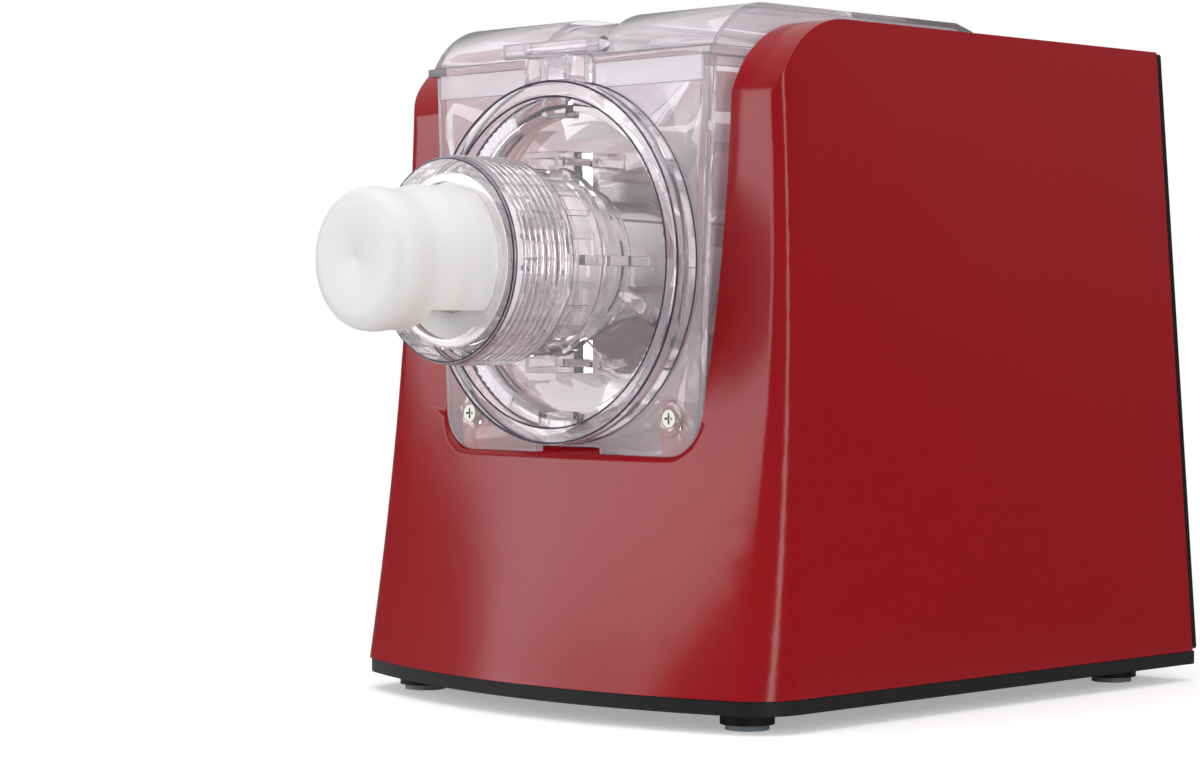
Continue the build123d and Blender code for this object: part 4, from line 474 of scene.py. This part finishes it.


# Smoke-tinted SAN: a slight haze and a lilac-grey cast, darker at its edges: partly real tint, partly painted
# shade
smoked_san = new_finish("smoked_san", "#f6f1f5", Transmission_Weight=0.85, IOR=1.46, Specular_IOR_Level=0.5)
add_grain(smoked_san, grain=0.02, height=0.00001, roughness=(0.0, 0.03))
add_painted_edge_shade(smoked_san, "#41364a")

# Painted shade on the moulded edges of the same plastic: dark plum, for the dark look that light running
# inside the wall gives them
plum_painted_shade = new_finish("smoked_san_painted_edge_shade", "#3d3147", Transmission_Weight=0.2, IOR=1.46)
add_grain(plum_painted_shade, grain=0.003, height=0.00001, roughness=(0.05, 0.12))

# Frosted SAN: the same clear plastic, spark-eroded to a white haze
frosted_san = new_finish("frosted_san", "#efecf1", Transmission_Weight=0.45, IOR=1.46)
add_grain(frosted_san, grain=0.0006, height=0.00004, roughness=(0.32, 0.45))

chamber_finishes = (smoked_san, frosted_san, plum_painted_shade)
made = copied_mesh("mixing_chamber")
# The chamber's rounded edges take the painted plum shade
round_edges(made, any_sharp, width=0.0006, segments=2, slot=chamber_finishes.index(plum_painted_shade))
chamber = to_piece(made, "clear_chamber", *chamber_finishes)

# Two strips under the lip stand a little ahead of the plate, and their faces are frosted
strip_ahead = 0.0012
strip_height = 0.0100
chamber_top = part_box("mixing_chamber")[1][2]
for face in chamber.data.polygons:
    ahead = plate_front - face.center.y
    under_lip = chamber_top - face.center.z
    if face.normal.y < -0.9 and abs(ahead - strip_ahead) < 0.0001 and under_lip < 2 * strip_height:
        face.material_index = chamber_finishes.index(frosted_san)
put_on_clear(chamber, "housing", "smoked_clear", "mixing_chamber")
add_screws("chamber_screws", -1)

# Silicone seal: matt grey, slightly waxy
seal_silicone = new_finish("grey_silicone", "#8d9094", Subsurface_Weight=0.1, Subsurface_Scale=0.002)
add_grain(seal_silicone, grain=0.001, height=0.00004, roughness=(0.45, 0.6))
dress_nodes(seal_silicone, "shaft_seal")

# =====================================================================================
# Front cover, ring nut and die head: the cover and the nut are moulded in clear SAN, and
# the head and its die in white acetal. The cover locks on the chamber with a bayonet, and
# the nut runs on the cover's thread and holds the head.
# =====================================================================================

# Clear SAN: water-clear, and its edges darkened to violet by painted shade where its surface turns away
clear_san = new_finish("clear_san", "#fbf8fa", Transmission_Weight=0.96, IOR=1.46, Specular_IOR_Level=0.5)
add_grain(clear_san, grain=0.015, height=0.00001, roughness=(0.0, 0.02))
add_painted_edge_shade(clear_san, "#3d3346")

nut_low, nut_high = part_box("ring_nut")
nut_front = nut_low[1]
nut_radius = (nut_high[0] - nut_low[0]) / 2
spindle = (nut_low[2] + nut_high[2]) / 2  # the height of the axis of the nut, head and auger
wide_part = 0.0344  # the nut's length at its full radius, ahead of its skirt
skirt_radius = 0.040


def from_spindle(vert):
    """How far a point lies from the axis of the nut, the head and the auger."""
    return Vector((vert.co.x, vert.co.z - spindle)).length


def cover_rim(edge):
    """The sharp edges of the cover's ring and of its grips, which stand out past the nut."""
    return any_sharp(edge) and min(from_spindle(vert) for vert in edge.verts) > nut_radius + 0.001


def nut_rim(edge):
    """The sharp edges round the outside of the nut, but not its thread."""
    return any_sharp(edge) and min(from_spindle(vert) for vert in edge.verts) > skirt_radius - 0.0005


# The rounded outer edges of the cover and the nut take the painted plum shade
for node, name, rim, width, body in (("front_cover", "clear_front_cover", cover_rim, 0.0006, "cover"),
                                     ("ring_nut", "clear_ring_nut", nut_rim, 0.0004, "nut")):
    made = copied_mesh(node)
    round_edges(made, rim, width, segments=2, slot=1)
    put_on_clear(to_piece(made, name, clear_san, plum_painted_shade), body, "clear", node)

# Raised rings that step along a round part
ring_tree, given = new_tree("raised_rings", {"Count": "Int", "Radius": "Float", "Bead": "Float",
                                             "Step": "Float", "First": "Vector", "Finish": "Material"})
loop = add_node(ring_tree, "GeometryNodeCurvePrimitiveCircle",
                {"Resolution": 96, "Radius": given.outputs["Radius"]})
bead = add_node(ring_tree, "GeometryNodeCurvePrimitiveCircle",
                {"Resolution": 8, "Radius": given.outputs["Bead"]})
ring = add_node(ring_tree, "GeometryNodeCurveToMesh",
                {"Curve": loop.outputs[0], "Profile Curve": bead.outputs[0]})
step = add_node(ring_tree, "ShaderNodeCombineXYZ", {"Z": given.outputs["Step"]})
line = add_node(ring_tree, "GeometryNodeMeshLine",
                {"Count": given.outputs["Count"], "Offset": step.outputs[0]})
copies = add_node(ring_tree, "GeometryNodeInstanceOnPoints",
                  {"Points": line.outputs[0], "Instance": ring.outputs[0]})
stood = add_node(ring_tree, "GeometryNodeTransform",
                 {"Geometry": copies.outputs[0], "Rotation": (-pi / 2, 0, 0),
                  "Translation": given.outputs["First"]})
end_tree(ring_tree, stood.outputs[0], given)

# Lengthwise ribs that stand round a round part
rib_tree, given = new_tree("lengthwise_ribs", {"Count": "Int", "Radius": "Float", "Rib": "Vector",
                                               "Middle": "Vector", "Finish": "Material"})
loop = add_node(rib_tree, "GeometryNodeMeshCircle",
                {"Vertices": given.outputs["Count"], "Radius": given.outputs["Radius"]})
rib = add_node(rib_tree, "GeometryNodeMeshCube", {"Size": given.outputs["Rib"]})
spot = add_node(rib_tree, "GeometryNodeInputPosition")
turn = add_node(rib_tree, "FunctionNodeAlignRotationToVector", {"Vector": spot.outputs[0]}, axis="X")
copies = add_node(rib_tree, "GeometryNodeInstanceOnPoints",
                  {"Points": loop.outputs[0], "Instance": rib.outputs["Mesh"], "Rotation": turn.outputs[0]})
stood = add_node(rib_tree, "GeometryNodeTransform",
                 {"Geometry": copies.outputs[0], "Rotation": (-pi / 2, 0, 0),
                  "Translation": given.outputs["Middle"]})
end_tree(rib_tree, stood.outputs[0], given)

# Rings and ribs on the nut for a wet hand; a place is measured back from the nut's front
first_ring = 0.0055
rib_middle = 0.017
skirt_rib_middle = wide_part + 0.009
for tree, name, values in (
        (ring_tree, "nut_rings", {"Count": 8, "Radius": nut_radius, "Bead": 0.0006, "Step": 0.0033,
                                  "First": (0, nut_front + first_ring, spindle)}),
        (rib_tree, "nut_ribs", {"Count": 40, "Radius": nut_radius, "Rib": (0.0008, 0.0009, 0.0235),
                                "Middle": (0, nut_front + rib_middle, spindle)}),
        (rib_tree, "skirt_ribs", {"Count": 24, "Radius": skirt_radius, "Rib": (0.0014, 0.0028, 0.013),
                                  "Middle": (0, nut_front + skirt_rib_middle, spindle)})):
    put_on_clear(grow(tree, name, {**values, "Finish": clear_san}), "nut", "clear")

# Painted shade on the cover's ring: dark plum lines round its corners, two round its front face and one round
# its back
ring_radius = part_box("front_cover")[1][0]
ring_wall = 0.0073
ring_front = -0.097
ring_back = -0.0862
line_bead = 0.00045
for name, radius, y in (("outer_front", ring_radius - line_bead, ring_front),
                        ("outer_back", ring_radius, ring_back),
                        ("inner_front", ring_radius - ring_wall + line_bead, ring_front)):
    corner = grow(ring_tree, name + "_line", {"Count": 1, "Radius": radius - line_bead / 2, "Bead": line_bead,
                                              "First": (0, y + line_bead / 2, spindle), "Finish": plum_painted_shade})
    put_on(corner, "cover", "clear")


def bent_bar(made, inner, outer, back, front, start, sweep):
    """A bar with a square section, bent round the spindle; angles in degrees from +X up."""
    steps = max(1, round(sweep / 3))  # about three degrees each
    corners = [(inner, back), (outer, back), (outer, front), (inner, front)]
    rows = []
    for k in range(steps + 1):
        turn = radians(start + sweep * k / steps)
        rows.append([made.verts.new((r * cos(turn), y, spindle + r * sin(turn))) for r, y in corners])
    for row, ahead in zip(rows, rows[1:]):
        for k in range(4):
            made.faces.new((row[k], row[(k + 1) % 4], ahead[(k + 1) % 4], ahead[k]))
    made.faces.new(rows[0][::-1])
    made.faces.new(rows[-1])


# Frosted hold strips between the cover's ring and disc: bent rails with ribs across them
rail_inner = 0.0665
rail_outer = 0.0712
rail_back = -0.0887
rail_front = -0.0903
rail_arcs = ((115, 35), (16, 27), (-48, 18), (222, 20))  # where each starts and how far it goes, in degrees
rail_rib_step = 3
rail_rib_width = 1.1
rail_rib_height = 0.0007
made = bmesh.new()
for start, sweep in rail_arcs:
    bent_bar(made, rail_inner, rail_outer, rail_back, rail_front, start, sweep)
    for k in range(sweep // rail_rib_step):
        bent_bar(made, rail_inner, rail_outer, rail_front, rail_front - rail_rib_height,
                 start + 1 + rail_rib_step * k, rail_rib_width)
bmesh.ops.recalc_face_normals(made, faces=made.faces)
put_on_clear(to_piece(made, "hold_rails", frosted_san), "cover", "clear")

# White acetal: dense, waxy and faintly translucent, with a bead-blasted skin
white_acetal = new_finish("white_acetal", "#dddcdb", Subsurface_Weight=0.12, Subsurface_Scale=0.004,
                          Specular_IOR_Level=0.4)
add_grain(white_acetal, grain=0.0007, height=0.00004, roughness=(0.42, 0.52))

made = copied_mesh("die_head")
round_edges(made, any_sharp, width=0.0006, segments=3)
# The moulding's gate leaves a small dimple in the middle of the nose, given by radius and depth
dimple = ((0.0034, 0), (0.0026, 0.0003), (0.0015, 0.0006), (0.0006, 0.0007))
nose = max(made.faces, key=lambda face: -face.normal.y * face.calc_area())
nose_y = nose.calc_center_median().y
outline = [loop.vert for loop in nose.loops]
turns = [atan2(vert.co.z - spindle, vert.co.x) for vert in outline]
bmesh.ops.delete(made, geom=[nose], context="FACES_ONLY")
rows = [outline]
for radius, depth in dimple:
    rows.append([made.verts.new((radius * cos(turn), nose_y + depth, spindle + radius * sin(turn)))
                 for turn in turns])
for row, inner in zip(rows, rows[1:]):
    for k in range(len(row)):
        after = (k + 1) % len(row)
        made.faces.new((row[k], row[after], inner[after], inner[k]))
made.faces.new(rows[-1])
put_on(to_piece(made, "white_die_head", white_acetal), "head", "white_plastic", "die_head")
dress_nodes(white_acetal, "die")

# =====================================================================================
# Auger and mixing paddle: moulded in white acetal and pushed on the output shaft's square.
# The paddle turns in the tub, and the auger presses the dough through the cover to the die.
# =====================================================================================

dress_nodes(white_acetal, "auger")
made = copied_mesh("mixing_paddle")
round_edges(made, any_sharp, width=0.0012, segments=3)
put_on(to_piece(made, "white_mixing_paddle", white_acetal), "drive_output", "white_plastic", "mixing_paddle")

# =====================================================================================
# Lid: a clear hood moulded in smoke-tinted SAN, with a sunk channel and a grip bar. It
# swings on two steel pins, and a small switch stops the motor while it is up.
# =====================================================================================

made = copied_mesh("lid")
# The lid's rounded edges take the painted plum shade
round_edges(made, any_sharp, width=0.0007, segments=2, slot=1)
put_on_clear(to_piece(made, "clear_lid", smoked_san, plum_painted_shade), "lid", "smoked_clear", "lid")

# Turned and ground steel: fine rings round the lengthwise axis
turned_steel = new_finish("ground_steel", "#c3c4c6", Metallic=1.0)
add_grain(turned_steel, grain=0.003, height=0.00001, roughness=(0.16, 0.3), stretch=(0.2, 8, 0.2))
dress_nodes(turned_steel, "lid_hinge_pins")

# Black glass-filled nylon: the satin, slightly rough skin of small electrical cases
black_nylon = new_finish("black_nylon", "#1b1b1e")
add_grain(black_nylon, grain=0.0009, height=0.00006, roughness=(0.35, 0.5))
dress_nodes(black_nylon, "lid_switch")
dress_nodes(white_acetal, "lid_switch_plunger")

# =====================================================================================
# Gear train and gearbox: acetal wheels and steel pinions on ground steel shafts. They run
# in bronze bushes, in a die casting of two halves that is closed by six screws.
# =====================================================================================

# Natural acetal: creamy white, with the faint sheen of hobbed teeth
cream_acetal = new_finish("natural_acetal", "#e4dfd0", Subsurface_Weight=0.1, Subsurface_Scale=0.003)
add_grain(cream_acetal, grain=0.0015, height=0.00003, roughness=(0.32, 0.45))
dress_nodes(cream_acetal, "output_gear", "step_wheel")
dress_nodes(turned_steel, "output_shaft", "step_shaft", "step_pinion", "motor_pinion", "motor_shaft")

# Die-cast aluminium: a matt, slightly mottled skin with shallow flow marks
cast_alloy = new_finish("die_cast_aluminium", "#b3b5b7", Metallic=0.9)
add_grain(cast_alloy, grain=0.0014, height=0.0001, roughness=(0.42, 0.6))
add_shades(cast_alloy, patch=0.02, low="#a6a8ab", high="#bfc1c2")
dress_nodes(cast_alloy, "gearbox_front", "gearbox_rear", "motor_front_end", "motor_rear_end")

# Sintered bronze: open grain, dark with oil
oiled_bronze = new_finish("sintered_bronze", "#a07a3c", Metallic=1.0)
add_grain(oiled_bronze, grain=0.0004, height=0.00005, roughness=(0.4, 0.6))
dress_nodes(oiled_bronze, "gearbox_bushes")
dress_nodes(zinc_steel, "gearbox_screws", "mount_screws", "panel_board_screws")

# =====================================================================================
# Motor: a zinc-plated sheet steel can between two cast ends, with bearings in them. Its
# rotor and its copper-wound stator are stacked from thin sheets, and a moulded fan on the
# shaft cools them.
# =====================================================================================

# Zinc-plated sheet: long rolled streaks along the strip
zinc_sheet = new_finish("zinc_plated_sheet", "#a9adb0", Metallic=0.95)
add_grain(zinc_sheet, grain=0.002, height=0.00002, roughness=(0.3, 0.45), stretch=(4, 0.3, 4))
dress_nodes(zinc_sheet, "motor_can", "motor_mount")
dress_nodes(turned_steel, "motor_bearings")

# Stacked electrical steel: 0.5 mm sheets, drawn at 1 mm so that they show
stacked_steel = new_finish("stacked_steel", "#5d5f62", Metallic=0.9)
add_grain(stacked_steel, grain=0.02, height=0.0002, roughness=(0.4, 0.55), stretch=(0.1, 20, 0.1))
dress_nodes(stacked_steel, "stator", "rotor")

# Varnished copper wire: glossy, laid in 0.7 mm strands round the core
varnished_copper = new_finish("varnished_copper", "#a8572b", Metallic=1.0)
add_grain(varnished_copper, grain=0.0007, height=0.0003, roughness=(0.2, 0.35))
dress_nodes(varnished_copper, "stator_coils")
dress_nodes(black_nylon, "motor_fan")

# =====================================================================================
# Controls: a panel of black ABS in the deck, with a dark acrylic window over the display
# and four grey ABS keys. The keys press switches on a lacquered board that is screwed
# under the panel, and sheathed wires run from the mains inlet and to the motor.
# =====================================================================================

dress_nodes(black_abs, "control_panel")

# Dark acrylic window: smooth, near black until it is lit from below
dark_acrylic = new_finish("dark_acrylic", "#0b0c0f", Coat_Weight=0.5, Coat_Roughness=0.03)
add_grain(dark_acrylic, grain=0.01, height=0.00001, roughness=(0.04, 0.08))
dress_nodes(dark_acrylic, "display_window")

# Satin grey keys, moulded in ABS: a fine, even grain that spreads the light
grey_abs = new_finish("satin_grey_abs", "#b7b8bb")
add_grain(grey_abs, grain=0.0008, height=0.00005, roughness=(0.32, 0.42))

# Pad-printing ink: a thin, matt, dark layer on the keys
dark_ink = new_finish("dark_pad_ink", "#26272b")
add_grain(dark_ink, grain=0.0006, height=0.00001, roughness=(0.5, 0.6))

# Lit display strokes: a warm red glow, pale in the middle
lit_segments = new_finish("lit_segments", "#ffb9a8", Emission_Color=linear("#ff6a4d"), Emission_Strength=0.6)
add_grain(lit_segments, grain=0.0006, height=0.00001, roughness=(0.4, 0.5))

ink = 0.00012  # the thickness of a mark
sign_radius = 0.0034
sign_stroke = 0.0007
triangle_left = -0.0022
triangle_height = 0.0056
triangle_bars = 10
triangle_step = 0.0005
triangle_bar = 0.00055  # a little wider than the step, so that the bars join
line_step = 0.0022
line_size = (0.0062, 0.0008)


def middle_of(low, high):
    """The middle of a box, seen from above."""
    return (low[0] + high[0]) / 2, (low[1] + high[1]) / 2


def flat_bar(made, middle, size, top, turn=0.0):
    """A thin printed bar: its middle and size across the key, laid on a height."""
    placed = Matrix.Translation((*middle, top + ink / 2)) @ Matrix.Rotation(turn, 4, "Z")
    bmesh.ops.create_cube(made, size=1.0, matrix=placed @ Matrix.Diagonal((*size, ink, 1)))


def ring_marks(middle, arc, turn):
    """The bars that make a printed ring, or a part of one; arc in degrees."""
    count = 20
    overlap = 1.15
    length = overlap * 2 * pi * sign_radius * arc / 360 / count
    angles = [turn + radians(arc) * (k + 0.5) / count for k in range(count)]
    return [((middle[0] + sign_radius * cos(a), middle[1] + sign_radius * sin(a)), (length, sign_stroke),
             a + pi / 2) for a in angles]


def key_marks(name, middle):
    """The bars of a key's sign: a broken ring, a triangle, three lines or a clock."""
    x, y = middle
    if name == "power":
        return [*ring_marks(middle, 290, radians(125)), ((x, y + 0.003), (sign_stroke, 0.0036), 0)]
    if name == "start":
        return [((x + triangle_left + triangle_step * k, y),
                 (triangle_bar, triangle_height * (1 - k / triangle_bars)), 0) for k in range(triangle_bars)]
    if name == "program":
        return [((x, y + line_step * k), line_size, 0) for k in (-1, 0, 1)]
    hands = [((x, y + 0.0012), (0.0006, 0.0024), 0), ((x + 0.0009, y), (0.0018, 0.0006), 0)]
    return [*ring_marks(middle, 360, 0), *hands]


for name in ("power", "start", "program", "timer"):
    key = name + "_button"
    dress_nodes(grey_abs, key)
    low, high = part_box(key)
    made = bmesh.new()
    for spot, size, turn in key_marks(name, middle_of(low, high)):
        flat_bar(made, spot, size, high[2], turn)
    put_on(to_piece(made, name + "_mark", dark_ink), name + "_key", "grey_keys")

# The display's figures, 10:00: a stroke is given by its place across and up, and whether it stands
strokes = {"top": (0, 1, 0), "middle": (0, 0, 0), "bottom": (0, -1, 0), "upper_left": (-1, 0.5, 1),
           "lower_left": (-1, -0.5, 1), "upper_right": (1, 0.5, 1), "lower_right": (1, -0.5, 1)}
figures = {"1": ("upper_right", "lower_right"), "0": [name for name in strokes if name != "middle"]}
shown_figures = ((-1.7, "1"), (-0.7, "0"), (0.7, "0"), (1.7, "0"))  # places in steps from the middle
digit_wide = 0.0050
digit_high = 0.0100
digit_step = 0.0088
stroke = 0.0010
colon_rise = 0.0022
low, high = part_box("display_window")
window_x, window_y = middle_of(low, high)
made = bmesh.new()
for place, figure in shown_figures:
    for name in figures[figure]:
        across, up, upright = strokes[name]
        spot = (window_x + place * digit_step + across * digit_wide / 2, window_y + up * digit_high / 2)
        size = (stroke, digit_high / 2 - stroke * 1.2) if upright else (digit_wide - stroke * 1.2, stroke)
        flat_bar(made, spot, size, high[2])
for up in (-colon_rise, colon_rise):
    flat_bar(made, (window_x, window_y + up), (stroke, stroke), high[2])
put_on(to_piece(made, "display_figures", lit_segments), "housing", "dark_window")

# Glass-laminate board: a clear green lacquer, with paler copper tracks under it
lacquer = "#0f4a2a"
green_board = new_finish("lacquered_board", lacquer, Roughness=0.3)
tree = green_board.node_tree
place = add_node(tree, "ShaderNodeTexCoord")
tracks = add_node(tree, "ShaderNodeTexBrick",
                  {"Vector": place.outputs["Object"], "Scale": 1.0, "Brick Width": 0.006, "Row Height": 0.0021,
                   "Mortar Size": 0.0004, "Color1": linear(lacquer), "Color2": linear("#125431"),
                   "Mortar": linear("#1d6b3d")})
tree.links.new(tracks.outputs["Color"], tree.nodes["Principled BSDF"].inputs["Base Color"])
dress_nodes(green_board, "panel_board", "power_board")
dress_nodes(black_nylon, "key_switches", "display_module", "board_components")

# Silicone-sheathed wire: soft, dark red-brown
wire_sheath = new_finish("silicone_wire_sheath", "#4a2119")
add_grain(wire_sheath, grain=0.001, height=0.00005, roughness=(0.4, 0.5))
dress_nodes(wire_sheath, "mains_leads", "motor_leads")
